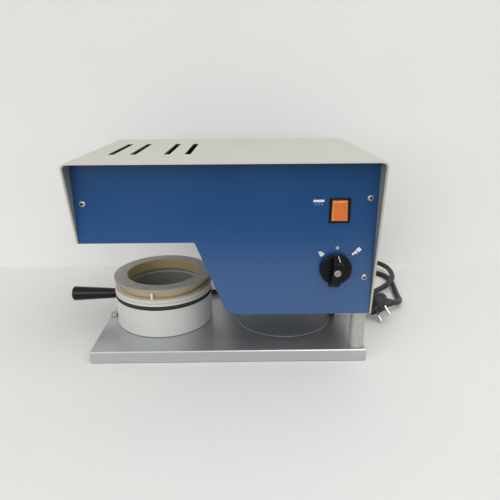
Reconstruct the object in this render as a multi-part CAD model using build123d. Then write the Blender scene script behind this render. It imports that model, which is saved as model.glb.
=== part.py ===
from build123d import *
import math
import os

# Dental pressure thermoforming machine. Sizes are in millimetres.
# X runs to the right, Y to the rear and Z up. While it is drawn, x is 0 at the cover's left face,
# y is 0 at the front panel and z is 0 on the table. The last step moves the origin.

# Base plate and its feet
base_thickness = 16.2
base_proud_left = 2.3
base_short_right = 1.3
base_proud_front = 1.0
base_proud_rear = 1.0
base_edge = 1.2
foot_radius = 10.0
foot_thickness = 3.0
foot_proud = 1.0
foot_inset = 36.0

# Housing: one bent cover over two panels
cover_width = 370.0
cover_top = 271.5
cover_sheet = 2.4
cover_bend = 8.0
cover_rear = 226.0
visor_reach = 23.0
side_reach = 1.0
overhang_bottom = 169.4
housing_bottom = 70.9
panel_sheet = 2.0
panel_gap = 0.4
panel_rear_setback = 2.0
slope_past_heater = 0.0
slope_width = 38.9
slope_round = 18.0
vent_width = 7.5
vent_front = 44.0
vent_rear = 157.0
vent_shift = 4.5
vent_offsets = (-48.0, -20.5, 22.0, 48.0)

# Frame inside the housing
post_radius = 10.0
post_front_y = 12.6
post_from_rear = 17.0
post_from_right = 13.5
post_past_slope = 35.5
plate_thickness = 12.0
plate_right_gap = 2.6
bell_headroom = 3.5
tie_radius = 6.0
tie_from_left = 12.5
tie_from_right = 11.7
tie_left_drop = 51.9
tie_right_drop = 47.4
plate_screw_shift = 1.1
screw_radius = 2.0
screw_head_radius = 4.0
screw_head_height = 2.2
screw_length = 8.0
hole_clearance = 0.3
thread_clearance = 0.05
cover_screw_y = (45.0, 180.0)
tray_sheet = 1.5
tray_lift = 1.6
tray_past_slope = 13.5
tray_flange = 14.0

# Pot, its rings and its handle
pot_from_left = 12.0
pot_y = 107.8
pot_radius = 71.5
pot_wall = 15.5
pot_wall_height = 41.5
pot_floor = 9.0
press_room = 35.0
slide_gap = 0.3
seal_section = 5.8
seal_gap = 0.1
lip_height = 3.5
seat_height = 5.5
seat_step = 1.0
seat_inset = 0.5
clamp_height = 15.5
clamp_rim_height = 4.4
clamp_lip = 3.7
clamp_undercut = 10.0
clamp_inset = 0.1
peg_radius = 1.75
peg_gap = 3.2
peg_count = 3
peg_angle = -95.0
handle_drop = 4.2
grip_length = 66.5
grip_small_radius = 7.4
grip_large_radius = 11.0
stud_radius = 4.0
stub_radius = 3.65
stub_length = 13.0

# Stops, guide and press seat on the base plate
seat_disc_margin = 1.0
seat_disc_thickness = 3.0
seat_disc_gap = 0.3
stop_width = 10.0
stop_height = 4.4
stop_length = 9.6
bumper_small = 2.0
bumper_large = 5.0
bumper_thickness = 7.7
far_stop_size = (23.0, 22.0, 29.8)
sensor_size = (15.0, 18.0, 16.0)
sensor_gap = 0.5
rail_width = 8.0
rail_height = 10.0

# Heater in the overhang
heater_margin = 5.0
reflector_lap = 5.0
reflector_taper = 7.0
reflector_height = 28.0
reflector_sheet = 1.2
element_radii = (45.0, 25.0)
element_section = 4.0
element_drop = 15.0
leg_radius = 2.0
leg_spread = 8.3
block_size = (36.0, 28.0, 14.0)
guard_wire = 0.75
guard_radii = (40.0, 20.0)
guard_rim = 3.0

# Press unit over the press seat
barrel_radius = 58.0
barrel_wall = 8.0
bell_inset = 8.5
barrel_height = 44.4
cap_thickness = 10.0
piston_thickness = 12.0
piston_gap = 2.0
running_gap = 0.05
rod_radius = 15.0
bell_thickness = 15.0
bell_wall = 13.0
bell_recess_depth = 9.0
bell_travel = 6.0
bell_seal_inset = 2.0
bell_seal_groove = 3.0
bell_seal_proud = 1.0
spring_wire = 5.0
spring_radius = 36.0
spring_half_turns = 7
cap_bolt_radius = 3.0
cap_bolt_count = 4

# Switch and selector on the front panel
switch_from_right = 48.25
switch_z = 208.95
switch_width = 25.7
switch_height = 31.0
switch_rim = 2.0
switch_body_width = 22.0
switch_body_height = 28.8
switch_depth = 26.0
key_width = 19.4
key_height = 25.4
key_proud = 2.2
key_dip = 1.0
key_pivot_y = 1.0
key_tilt = 7.0
key_gap = 0.3
blade_size = (6.3, 9.0, 0.8)
knob_from_right = 50.0
knob_lift = 6.6
knob_radius = 20.0
knob_skirt = 5.0
knob_depth = 16.5
knob_gap = 2.6
knob_bar_width = 12.0
knob_bar_top = 18.5
knob_bar_bottom = 22.6
knob_bar_slope_top = 7.0
knob_bar_slope_bottom = 8.0
knob_turned = 6.0
knob_screw_radius = 3.2
shaft_radius = 3.0
bushing_radius = 6.0
valve_width = 32.0
valve_front = 6.0
valve_rear = 42.0
valve_height = 32.0

# Rear services
gland_from_right = 52.0
gland_z = 145.0
gland_length = 36.0
inlet_from_right = 25.0
inlet_z = 150.0
inlet_bore = 2.5
inlet_radius = 4.5
inlet_length = 18.0
inlet_depth = 10.0
inlet_collar = 3.0
inlet_nut_thickness = 4.0
nut_radius = 8.5
nut_clearance = 0.6
valve_nut_thickness = 1.8
elbow_height = 12.0
elbow_reach = 20.0
elbow_wall = 2.0
silencer_length = 20.0
silencer_radius = 5.5
fuse_from_right = 82.0
fuse_z = 145.0
fuse_radius = 6.0
hose_radius = 3.0
strip_size = (50.0, 18.0, 13.0)
strip_ways = 5
strip_gap = 10.0

# Mains cord. Its points are chosen by hand, and its coil is worked out.
cord_radius = 4.5
coil_y = 290.0
coil_pitch = 10.4
coil_half_turns = 4
coil_inner = 28.6
coil_floor = 4.6
plug_face = (417.8, 115.4, 20.4)
plug_pin_direction = (0.32, -0.77, -0.55)
plug_exit_direction = (0.81, 0.52, -0.27)
plug_radius = 18.5
plug_depth = 20.0
plug_exit_length = 38.0
plug_exit_depth = 11.0
pin_radius = 2.4
pin_length = 19.0
pin_spacing = 19.0

# Places that follow from these sizes
base_bottom = foot_proud
base_top = base_bottom + base_thickness
base_left = -base_proud_left
base_right = cover_width - base_short_right
base_front = -base_proud_front
base_rear = cover_rear + base_proud_rear
pot_x = pot_from_left + pot_radius
pot_bore = pot_radius - pot_wall
press_x = cover_width - press_room - pot_radius
pot_bottom = base_top + slide_gap
groove_bottom = pot_bottom + pot_wall_height
groove_top = groove_bottom + seal_section + 2 * seal_gap
pot_top = groove_top + lip_height
handle_z = groove_bottom - handle_drop
seat_bore = pot_bore + seat_step
seat_top = pot_top + seat_height
clamp_bottom = seat_top + slide_gap
clamp_top = clamp_bottom + clamp_height
rim_bottom = clamp_top - clamp_rim_height
clamp_bore = pot_bore - clamp_lip
clamp_neck = pot_radius - clamp_undercut
clamp_rim = pot_radius - clamp_inset
peg_circle = clamp_neck + peg_gap + peg_radius
bell_radius = pot_radius - bell_inset
bell_bottom = clamp_top + slide_gap + bell_travel + bell_seal_proud
bell_top = bell_bottom + bell_thickness
plate_bottom = bell_top + bell_headroom
plate_top = plate_bottom + plate_thickness
plate_middle_z = (plate_bottom + plate_top) / 2
heater_opening = pot_bore + heater_margin
slope_start_x = pot_x + heater_opening + slope_past_heater
slope_end_x = slope_start_x + slope_width
tray_right = slope_start_x + tray_past_slope
post_right_x = cover_width - post_from_right
post_left_x = slope_start_x + post_past_slope
post_rear_y = cover_rear - post_from_rear
tie_left = (tie_from_left, cover_top - tie_left_drop)
tie_right = (cover_width - tie_from_right, cover_top - tie_right_drop)
vent_centre_x = pot_x + vent_shift
switch_x = cover_width - switch_from_right
knob_x = cover_width - knob_from_right
knob_z = plate_top + knob_lift
gland_x = cover_width - gland_from_right
inlet_x = cover_width - inlet_from_right
fuse_x = cover_width - fuse_from_right
slope_run = (slope_end_x - slope_start_x) / (overhang_bottom - housing_bottom)
slope_stretch = math.hypot(1.0, slope_run)
rear_panel_front = cover_rear - panel_rear_setback - panel_sheet
rear_panel_back = rear_panel_front + panel_sheet
tray_bottom = overhang_bottom + tray_lift
tray_top = tray_bottom + tray_sheet
inner_left = cover_sheet + panel_gap
inner_right = cover_width - cover_sheet - panel_gap
piston_radius = barrel_radius - barrel_wall
barrel_top = plate_top + barrel_height
piston_top = barrel_top - piston_gap
piston_bottom = piston_top - piston_thickness
cap_top = barrel_top + cap_thickness
far_stop_left = press_x + pot_radius + slide_gap + bumper_thickness
coil_x = gland_x - coil_inner - coil_pitch / 2 * coil_half_turns
coil_upper = coil_floor + coil_pitch
box_left = pot_x - pot_radius - slide_gap - grip_length
box_right = cover_width + screw_head_height
box_front = -visor_reach
box_rear = rear_panel_back + inlet_length
origin_x = (box_left + box_right) / 2
origin_y = (box_front + box_rear) / 2


def slab(x, y, z):
    """A box from the low and high values of each axis."""
    size = (x[1] - x[0], y[1] - y[0], z[1] - z[0])
    middle = (sum(x) / 2, sum(y) / 2, sum(z) / 2)
    return Pos(*middle) * Box(*size)


def upright(x, y, low, high, radius):
    """A cylinder along Z."""
    return Pos(x, y, (low + high) / 2) * Cylinder(radius, high - low)


def lying(x, z, front, rear, radius):
    """A cylinder along Y."""
    return Pos(x, (front + rear) / 2, z) * Rot(90, 0, 0) * Cylinder(radius, rear - front)


def cross(y, z, left, right, radius):
    """A cylinder along X."""
    return Pos((left + right) / 2, y, z) * Rot(0, 90, 0) * Cylinder(radius, right - left)


def turned(x, y, profile):
    """A body of revolution about an upright axis, from (radius, height) points."""
    face = make_face(Polyline(*[(r, 0, h) for r, h in profile], close=True))
    return Pos(x, y, 0) * revolve(face, Axis.Z)


def sheet(outline, radii, front, thickness):
    """An upright sheet with its face to the front, from (x, z) points and corner radii."""
    face = make_face(FilletPolyline(*outline, radius=radii, close=True))
    place = Plane(origin=(0, front + thickness, 0), x_dir=(1, 0, 0), z_dir=(0, -1, 0))
    return extrude(place * face, amount=thickness)


def along_y(outline, front, rear):
    """A prism along Y, from (x, z) points."""
    return sheet(outline, [0] * len(outline), front, rear - front)


def round_path(points, radii):
    """Straight runs joined by tangent arcs."""
    return Wire(FilletPolyline(*points, radius=radii).edges())


def hose(path, radius):
    """A tube of one radius along a path."""
    section = Plane(origin=path @ 0, z_dir=path % 0) * Circle(radius)
    return sweep(section, path=path)


def soft_radii(points):
    """The arc radius at each corner, as large as its two runs allow."""
    radii = []
    for before, here, after in zip(points, points[1:], points[2:]):
        run_in = Vector(*here) - Vector(*before)
        run_out = Vector(*after) - Vector(*here)
        half_turn = math.radians(run_in.get_angle(run_out)) / 2
        radii.append(0.45 * min(run_in.length, run_out.length) / math.tan(half_turn))
    return radii


def wound_path(centre, turns, lead_in, lead_out):
    """One unbroken winding of half turns, each a pair of tangent arcs.

    turns lists (radius, height) at the end of each half turn, first to last, starting on +X.
    The winding starts towards -Y, and straight ends of the given lengths meet it squarely.
    """
    points = []
    for index, (radius, height) in enumerate(turns):
        side = 1 if index % 2 == 0 else -1
        points.append(Vector(centre[0] + side * radius, centre[1], height))
    edges = []
    if lead_in:
        edges.append(Edge.make_line(points[0] + Vector(0, lead_in, 0), points[0]))
    for index, (start, end) in enumerate(zip(points, points[1:])):
        heading = Vector(0, -1 if index % 2 == 0 else 1, 0)
        middle = (start + end) * 0.5 + heading * ((end - start).length / 2)
        edges.append(Edge.make_tangent_arc(start, heading, middle))
        first = edges[-1] % 1
        edges.append(Edge.make_tangent_arc(middle, first, end))
    if lead_out:
        side = -1 if len(turns) % 2 == 0 else 1
        last = points[-1]
        away = Vector(0, -side * lead_out, 0)
        edges.append(Edge.make_line(last, last + away))
    return Wire(edges)


def least_self_gap(path, radius):
    """The least gap between turns of a tube, measured on points along its path."""
    count = int(path.length / 2)
    step = path.length / count
    samples = [path @ (index / count) for index in range(count + 1)]
    apart = int(math.pi * radius * 3 / step)
    least = path.length
    for first in range(len(samples)):
        for second in range(first + apart, len(samples)):
            least = min(least, (samples[first] - samples[second]).length)
    return least - 2 * radius


def panel_outline():
    """The outline that both panels share: a stepped shape with a sloping edge."""
    return [
        (inner_left, overhang_bottom),
        (inner_left, cover_top - cover_sheet - panel_gap),
        (inner_right, cover_top - cover_sheet - panel_gap),
        (inner_right, housing_bottom),
        (slope_end_x, housing_bottom),
        (slope_start_x, overhang_bottom),
    ]


def slope_x(height, inset):
    """The x of the sloping edge at a height, moved inwards by inset."""
    return slope_start_x + (overhang_bottom - height) * slope_run + inset * slope_stretch


def button_screw(x, z, face, inward, length=screw_length):
    """A round-head screw along Y. inward is +1 where it enters towards the rear."""
    head_end = face - inward * screw_head_height
    shank_end = face + inward * length
    head = lying(x, z, min(face, head_end), max(face, head_end), screw_head_radius)
    head = fillet(head.edges().group_by(Axis.Y)[0 if inward > 0 else -1], screw_head_height * 0.6)
    socket = lying(x, z, min(face, head_end) - 0.01, max(face, head_end), 1.4)
    floor = face - inward * screw_head_height * 0.35
    socket = socket & slab((x - 2, x + 2), sorted((floor, head_end - inward)), (z - 2, z + 2))
    shank = lying(x, z, min(face, shank_end), max(face, shank_end), screw_radius)
    return head - socket + shank


def base():
    """The base plate with its recess for the press seat, and four rubber feet."""
    plate = slab((base_left, base_right), (base_front, base_rear), (base_bottom, base_top))
    plate = chamfer(plate.edges().filter_by(Axis.Z) + plate.edges().group_by(Axis.Z)[-1], base_edge)
    disc_radius = pot_radius + seat_disc_margin
    plate -= upright(press_x, pot_y, base_top - seat_disc_thickness, base_top + 1, disc_radius)
    feet = []
    for x in (base_left + foot_inset, base_right - foot_inset):
        for y in (base_front + foot_inset, base_rear - foot_inset):
            foot = upright(x, y, 0, foot_thickness, foot_radius)
            plate -= foot
            feet.append(foot)
    for x, y in posts():
        plate -= upright(x, y, base_bottom - 1, base_top - 6, 7.2)
        plate -= upright(x, y, base_bottom - 1, base_top + 1, 4.2)
    disc_bottom = base_top - seat_disc_thickness
    disc = upright(press_x, pot_y, disc_bottom, base_top - 0.1, disc_radius - seat_disc_gap)
    disc = chamfer(disc.edges().group_by(Axis.Z)[-1], 1.0)
    save("base_plate", plate)
    save("foot_pads", *feet)
    save("press_seat", disc)


def posts():
    """The places of the upright posts: one at the front right and two at the rear."""
    return [(post_right_x, post_front_y), (post_right_x, post_rear_y), (post_left_x, post_rear_y)]


def frame():
    """The posts, their screws, and the press plate that they carry."""
    names = ("post_front_right", "post_rear_right", "post_rear_left")
    plate_left = slope_x(plate_bottom, tray_sheet + 1.0)
    plate_right = cover_width - cover_sheet - plate_right_gap
    plate = slab((plate_left, plate_right), (panel_sheet, rear_panel_front), (plate_bottom, plate_top))
    plate -= upright(press_x, pot_y, plate_bottom - 1, plate_top + 1, rod_radius + running_gap)
    screws = []
    for name, (x, y) in zip(names, posts()):
        post = upright(x, y, base_top, plate_bottom, post_radius)
        post = chamfer(post.edges().group_by(Axis.Z)[0], 0.6)
        drilled = 4.0 + thread_clearance
        post -= upright(x, y, base_top - 1, base_top + 22, drilled)
        post -= upright(x, y, plate_bottom - 22, plate_bottom + 1, drilled)
        plate -= upright(x, y, plate_bottom - 1, plate_top + 1, 4.2)
        save(name, post)
        low = upright(x, y, base_bottom + 2, base_top - 6, 6.5) + upright(x, y, base_top - 6, base_top + 20, 4.0)
        high = upright(x, y, plate_top, plate_top + 8, 6.5) + upright(x, y, plate_bottom - 20, plate_top, 4.0)
        screws += [low - upright(x, y, 0, base_bottom + 6, 3.2), high - upright(x, y, plate_top + 4, plate_top + 9, 3.2)]
    for x, z in panel_screw_places()[2:]:
        deep = screw_length + hole_clearance
        plate -= lying(x, z, 0, deep, screw_radius + thread_clearance)
        plate -= lying(x, z, rear_panel_back - deep, rear_panel_back, screw_radius + thread_clearance)
    for angle in range(cap_bolt_count):
        x, y = cap_bolt_place(angle)
        plate -= upright(x, y, plate_bottom - 1, plate_top + 1, cap_bolt_radius + thread_clearance)
    save("press_plate", plate)
    save("post_screws", *screws)
    bars = []
    for x, z in (tie_left, tie_right):
        bar = lying(x, z, panel_sheet, rear_panel_front, tie_radius)
        for face, inward in ((panel_sheet, 1), (rear_panel_front, -1)):
            deep = face + inward * (screw_length + 2)
            bar -= lying(x, z, min(face, deep), max(face, deep), screw_radius + thread_clearance)
        outward = -1 if x < cover_width / 2 else 1
        for y in cover_screw_y:
            far = x + outward * tie_radius * 1.2
            bar -= cross(y, z, min(x, far), max(x, far), screw_radius + thread_clearance)
        bars.append(bar)
    save("tie_bars", *bars)


def panel_screw_places():
    """The (x, z) of the screws that hold each panel."""
    return [tie_left, tie_right, (post_right_x + plate_screw_shift, plate_middle_z)]


def housing():
    """The two panels, the cover with its vents, and all their screws."""
    corner = cover_bend - cover_sheet + panel_gap
    radii = [0, corner, corner, 0, slope_round, 2.0]
    front = sheet(panel_outline(), radii, 0, panel_sheet)
    rear = sheet(panel_outline(), radii, rear_panel_front, panel_sheet)
    for x, z in panel_screw_places():
        front -= lying(x, z, -1, panel_sheet + 1, screw_radius + hole_clearance)
        rear -= lying(x, z, rear_panel_front - 1, rear_panel_back + 1, screw_radius + hole_clearance)
    half_width = switch_body_width / 2 + hole_clearance
    half_height = switch_body_height / 2 + hole_clearance
    front -= slab(
        (switch_x - half_width, switch_x + half_width),
        (-1, panel_sheet + 1),
        (switch_z - half_height, switch_z + half_height),
    )
    front -= lying(knob_x, knob_z, -1, panel_sheet + 1, bushing_radius + hole_clearance)
    for x, z, radius in ((gland_x, gland_z, 7.0), (inlet_x, inlet_z, inlet_radius), (fuse_x, fuse_z, fuse_radius)):
        rear -= lying(x, z, rear_panel_front - 1, rear_panel_back + 1, radius + hole_clearance)
    save("front_panel", front)
    save("rear_panel", rear)
    screws = [button_screw(x, z, 0, 1) for x, z in panel_screw_places()]
    screws += [button_screw(x, z, rear_panel_back, -1) for x, z in panel_screw_places()]
    save("housing_screws", *screws, *cover_screws())
    save("cover_shell", cover())


def cover():
    """The bent cover: a top and two sides, whose front edges lean back below the visor."""
    outer = [(0, housing_bottom), (0, cover_top), (cover_width, cover_top), (cover_width, housing_bottom)]
    shell = sheet(outer, [0, cover_bend, cover_bend, 0], -visor_reach, cover_rear + visor_reach)
    inside = [
        (cover_sheet, housing_bottom - 1),
        (cover_sheet, cover_top - cover_sheet),
        (cover_width - cover_sheet, cover_top - cover_sheet),
        (cover_width - cover_sheet, housing_bottom - 1),
    ]
    inner_bend = cover_bend - cover_sheet
    hollow = sheet(inside, [0, inner_bend, inner_bend, 0], -visor_reach - 1, cover_rear + visor_reach + 2)
    shell -= hollow
    shell -= slab((-1, cover_bend), (-visor_reach - 1, cover_rear + 1), (housing_bottom - 1, overhang_bottom))
    for low, left, right in (
        (overhang_bottom, -1, cover_width / 2),
        (housing_bottom, cover_width / 2, cover_width + 1),
    ):
        lean = [
            (-visor_reach, cover_top - cover_sheet),
            (-side_reach, low),
            (-side_reach, low - 1),
            (-visor_reach - 1, low - 1),
            (-visor_reach - 1, cover_top - cover_sheet),
        ]
        face = make_face(Polyline(*[(left, y, z) for y, z in lean], close=True))
        shell -= extrude(face, amount=right - left, dir=(1, 0, 0))
    for offset in vent_offsets:
        x = vent_centre_x + offset
        shell -= slab((x - vent_width / 2, x + vent_width / 2), (vent_front, vent_rear), (cover_top - 20, cover_top + 1))
    for side, (x, z) in (((-1, cover_sheet + 1), tie_left), ((cover_width - cover_sheet - 1, cover_width + 1), tie_right)):
        for y in cover_screw_y:
            shell -= cross(y, z, side[0], side[1], screw_radius + hole_clearance)
    return shell


def cover_screws():
    """Round-head screws through the cover's sides into the tie bars."""
    screws = []
    for face, outward, (x, z) in ((0, -1, tie_left), (cover_width, 1, tie_right)):
        for y in cover_screw_y:
            head = sorted((face, face + outward * screw_head_height))
            shank = sorted((face, x + outward * 1.0))
            screw = cross(y, z, head[0], head[1], screw_head_radius)
            screw = fillet(screw.edges().group_by(Axis.X)[0 if outward < 0 else -1], screw_head_height * 0.6)
            screws.append(screw + cross(y, z, shank[0], shank[1], screw_radius))
    return screws


def heater():
    """The heater tray, its reflector, the ring elements, their block and the guard."""
    front = panel_sheet
    rear = rear_panel_front
    tray = slab((inner_left, tray_right), (front, rear), (tray_bottom, tray_top))
    for low, high in ((front, front + tray_sheet), (rear - tray_sheet, rear)):
        tray += slab((inner_left, tray_right), (low, high), (tray_bottom, tray_bottom + tray_flange))
    tray -= upright(pot_x, pot_y, tray_bottom - 1, tray_top + 1, heater_opening)
    top = tray_top + reflector_height
    reflector_flange = heater_opening + reflector_lap
    reflector_top_radius = heater_opening - reflector_taper
    steps = [
        (heater_opening, tray_top),
        (reflector_flange, tray_top),
        (reflector_flange, tray_top + reflector_sheet),
        (heater_opening + reflector_sheet, tray_top + reflector_sheet),
        (reflector_top_radius + reflector_sheet, top),
        (0, top),
        (0, top - reflector_sheet),
        (reflector_top_radius, top - reflector_sheet),
    ]
    reflector = turned(pot_x, pot_y, steps)
    elements = []
    level = top - element_drop
    for ring in element_radii:
        opening = math.degrees(math.asin(leg_spread / ring))
        section = Pos(ring, 0, level) * Rot(90, 0, 0) * Circle(element_section)
        arc = revolve(section, Axis.Z, 360 - 2 * opening)
        arc = Pos(pot_x, pot_y, 0) * Rot(0, 0, opening) * arc
        leg_x = pot_x + math.sqrt(ring ** 2 - leg_spread ** 2)
        for side in (-1, 1):
            arc += upright(leg_x, pot_y + side * leg_spread, level, top, leg_radius)
            arc += Pos(leg_x, pot_y + side * leg_spread, level) * Sphere(element_section)
            reflector -= upright(leg_x, pot_y + side * leg_spread, top - 3, top + 1, leg_radius + 0.6)
        elements.append(arc)
    rim = upright(pot_x, pot_y, tray_bottom, tray_top, heater_opening - 0.2)
    guard = rim - upright(pot_x, pot_y, tray_bottom - 1, tray_top + 1, heater_opening - guard_rim)
    middle = (tray_bottom + tray_top) / 2
    for radius in guard_radii:
        guard += Pos(pot_x, pot_y, middle) * Torus(radius, guard_wire)
    for angle in (0, 60, 120):
        wire = Rot(0, 90, 0) * Cylinder(guard_wire, 2 * heater_opening - guard_rim)
        guard += Pos(pot_x, pot_y, middle) * Rot(0, 0, angle) * wire
    guard -= guard - upright(pot_x, pot_y, 0, cover_top, heater_opening - 0.2)
    save("heater_tray", tray)
    save("heater_reflector", reflector)
    save("heating_elements", *elements)
    save("heater_guard", guard)
    bottom = plate_bottom - tray_sheet
    skirt = [
        (tray_right, tray_bottom),
        (slope_x(tray_bottom, 1), tray_bottom),
        (slope_x(bottom, 1), bottom),
        (slope_x(bottom, 1) + 16, bottom),
        (slope_x(bottom, 1) + 16, plate_bottom),
        (slope_x(plate_bottom, 1 + tray_sheet), plate_bottom),
        (slope_x(tray_bottom - tray_sheet, 1 + tray_sheet), tray_bottom - tray_sheet),
        (tray_right, tray_bottom - tray_sheet),
    ]
    notch = upright(post_left_x, post_rear_y, bottom - 1, plate_bottom + 1, post_radius + 0.5)
    save("slope_skirt", along_y(skirt, front, rear) - notch)


def heater_block():
    """The ceramic block on the reflector that the elements' legs stand in."""
    top = tray_top + reflector_height
    middle = pot_x + sum(element_radii) / 2
    block = slab(
        (middle - block_size[0] / 2, middle + block_size[0] / 2),
        (pot_y - block_size[1] / 2, pot_y + block_size[1] / 2),
        (top, top + block_size[2]),
    )
    return chamfer(block.edges().filter_by(Axis.Z), 3)


def pot():
    """The sliding pot: body, seal, foil seat, clamp ring, pegs, handle and stub pin."""
    floor = pot_bottom + pot_floor
    groove = pot_radius - seal_section + seal_gap
    body = turned(pot_x, pot_y, [
        (0, pot_bottom),
        (pot_radius - 1, pot_bottom),
        (pot_radius, pot_bottom + 1),
        (pot_radius, groove_bottom),
        (groove, groove_bottom),
        (groove, groove_top),
        (pot_radius, groove_top),
        (pot_radius, pot_top),
        (pot_bore + 1, pot_top),
        (pot_bore, pot_top - 1),
        (pot_bore, floor),
        (0, floor),
    ])
    for left, right, radius in (
        (pot_x - pot_radius - 1, pot_x - pot_bore - 3, stud_radius),
        (pot_x + pot_bore + 3, pot_x + pot_radius + 1, stub_radius),
    ):
        body -= cross(pot_y, handle_z, left, right, radius + thread_clearance)
    seal_centre = pot_radius - seal_section / 2 + seal_gap
    seal = Pos(pot_x, pot_y, (groove_bottom + groove_top) / 2) * Torus(seal_centre, seal_section / 2)
    seat = turned(pot_x, pot_y, [
        (seat_bore, pot_top),
        (pot_radius - seat_inset - 0.8, pot_top),
        (pot_radius - seat_inset, pot_top + 0.8),
        (pot_radius - seat_inset, seat_top - 0.5),
        (pot_radius - seat_inset - 0.5, seat_top),
        (seat_bore, seat_top),
    ])
    ring = turned(pot_x, pot_y, [
        (clamp_bore, clamp_bottom),
        (clamp_neck, clamp_bottom),
        (clamp_neck, rim_bottom),
        (clamp_rim, rim_bottom),
        (clamp_rim, clamp_top - 0.5),
        (clamp_rim - 0.5, clamp_top),
        (clamp_bore + 0.6, clamp_top),
        (clamp_bore, clamp_top - 0.6),
    ])
    pegs = []
    for index in range(peg_count):
        angle = math.radians(peg_angle + 360 / peg_count * index)
        x = pot_x + peg_circle * math.cos(angle)
        y = pot_y + peg_circle * math.sin(angle)
        pegs.append(upright(x, y, seat_top, rim_bottom - slide_gap, peg_radius))
    save("pot_body", body)
    save("pot_seal", seal)
    save("foil_seat", seat)
    save("clamp_ring", ring)
    save("clamp_pegs", *pegs)
    grip_right = pot_x - pot_radius - slide_gap
    grip_left = grip_right - grip_length
    profile = [
        (grip_left, 0),
        (grip_left, grip_large_radius - 3),
        (grip_left + 1, grip_large_radius - 1),
        (grip_left + 3, grip_large_radius),
        (grip_right, grip_small_radius),
        (grip_right, 0),
    ]
    face = make_face(Polyline(*[(x, 0, r) for x, r in profile], close=True))
    grip = Pos(0, pot_y, handle_z) * revolve(face, Axis.X)
    deep = 26.0
    grip -= cross(pot_y, handle_z, grip_right - deep, grip_right + 1, stud_radius + thread_clearance)
    save("handle_grip", grip)
    save("handle_stud", cross(pot_y, handle_z, grip_right - deep + 2, pot_x - pot_bore - 4, stud_radius))
    stub_end = pot_x + pot_radius + stub_length
    stub = cross(pot_y, handle_z, pot_x + pot_bore + 4, stub_end, stub_radius)
    save("stub_pin", chamfer(stub.edges().group_by(Axis.X)[-1], 0.8))


def stops():
    """The left and right stops with their rubber bumpers, the sensor and the guide rail."""
    stop_y = (pot_y - stop_width / 2, pot_y + stop_width / 2)
    bumper_face = pot_x - pot_radius - slide_gap
    block_right = bumper_face - 3.2
    left = slab((block_right - stop_length, block_right), stop_y, (base_top, base_top + stop_height))
    save("left_stop", chamfer(left.edges().group_by(Axis.Z)[-1], 0.6))
    save("left_bumper", cross(pot_y, base_top + bumper_small + 0.2, block_right, bumper_face, bumper_small))
    length, width, height = far_stop_size
    near = pot_y - width / 2
    right = slab((far_stop_left, far_stop_left + length), (near, near + width), (base_top, base_top + height))
    save("right_stop", chamfer(right.edges().group_by(Axis.Z)[-1], 0.8))
    bumper_z = base_top + bumper_large + 1
    save("right_bumper", cross(pot_y, bumper_z, far_stop_left - bumper_thickness, far_stop_left, bumper_large))
    sensor_left = press_x + pot_radius + stub_length + sensor_gap
    sensor_z = base_top + height
    sensor = slab(
        (sensor_left, sensor_left + sensor_size[0]),
        (pot_y - sensor_size[1] / 2, pot_y + sensor_size[1] / 2),
        (sensor_z, sensor_z + sensor_size[2]),
    )
    save("position_sensor", fillet(sensor.edges().filter_by(Axis.Z), 2))
    rail_front = pot_y + pot_radius + slide_gap
    rail = slab(
        (base_left + 8, far_stop_left),
        (rail_front, rail_front + rail_width),
        (base_top, base_top + rail_height),
    )
    save("guide_rail", chamfer(rail.edges().group_by(Axis.Z)[-1].filter_by(Axis.X), 1))


def cap_bolt_place(index):
    """The place of one of the bolts that hold the cylinder down."""
    angle = math.radians(45 + 360 / cap_bolt_count * index)
    circle = barrel_radius - barrel_wall / 2
    return press_x + circle * math.cos(angle), pot_y + circle * math.sin(angle)


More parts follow.
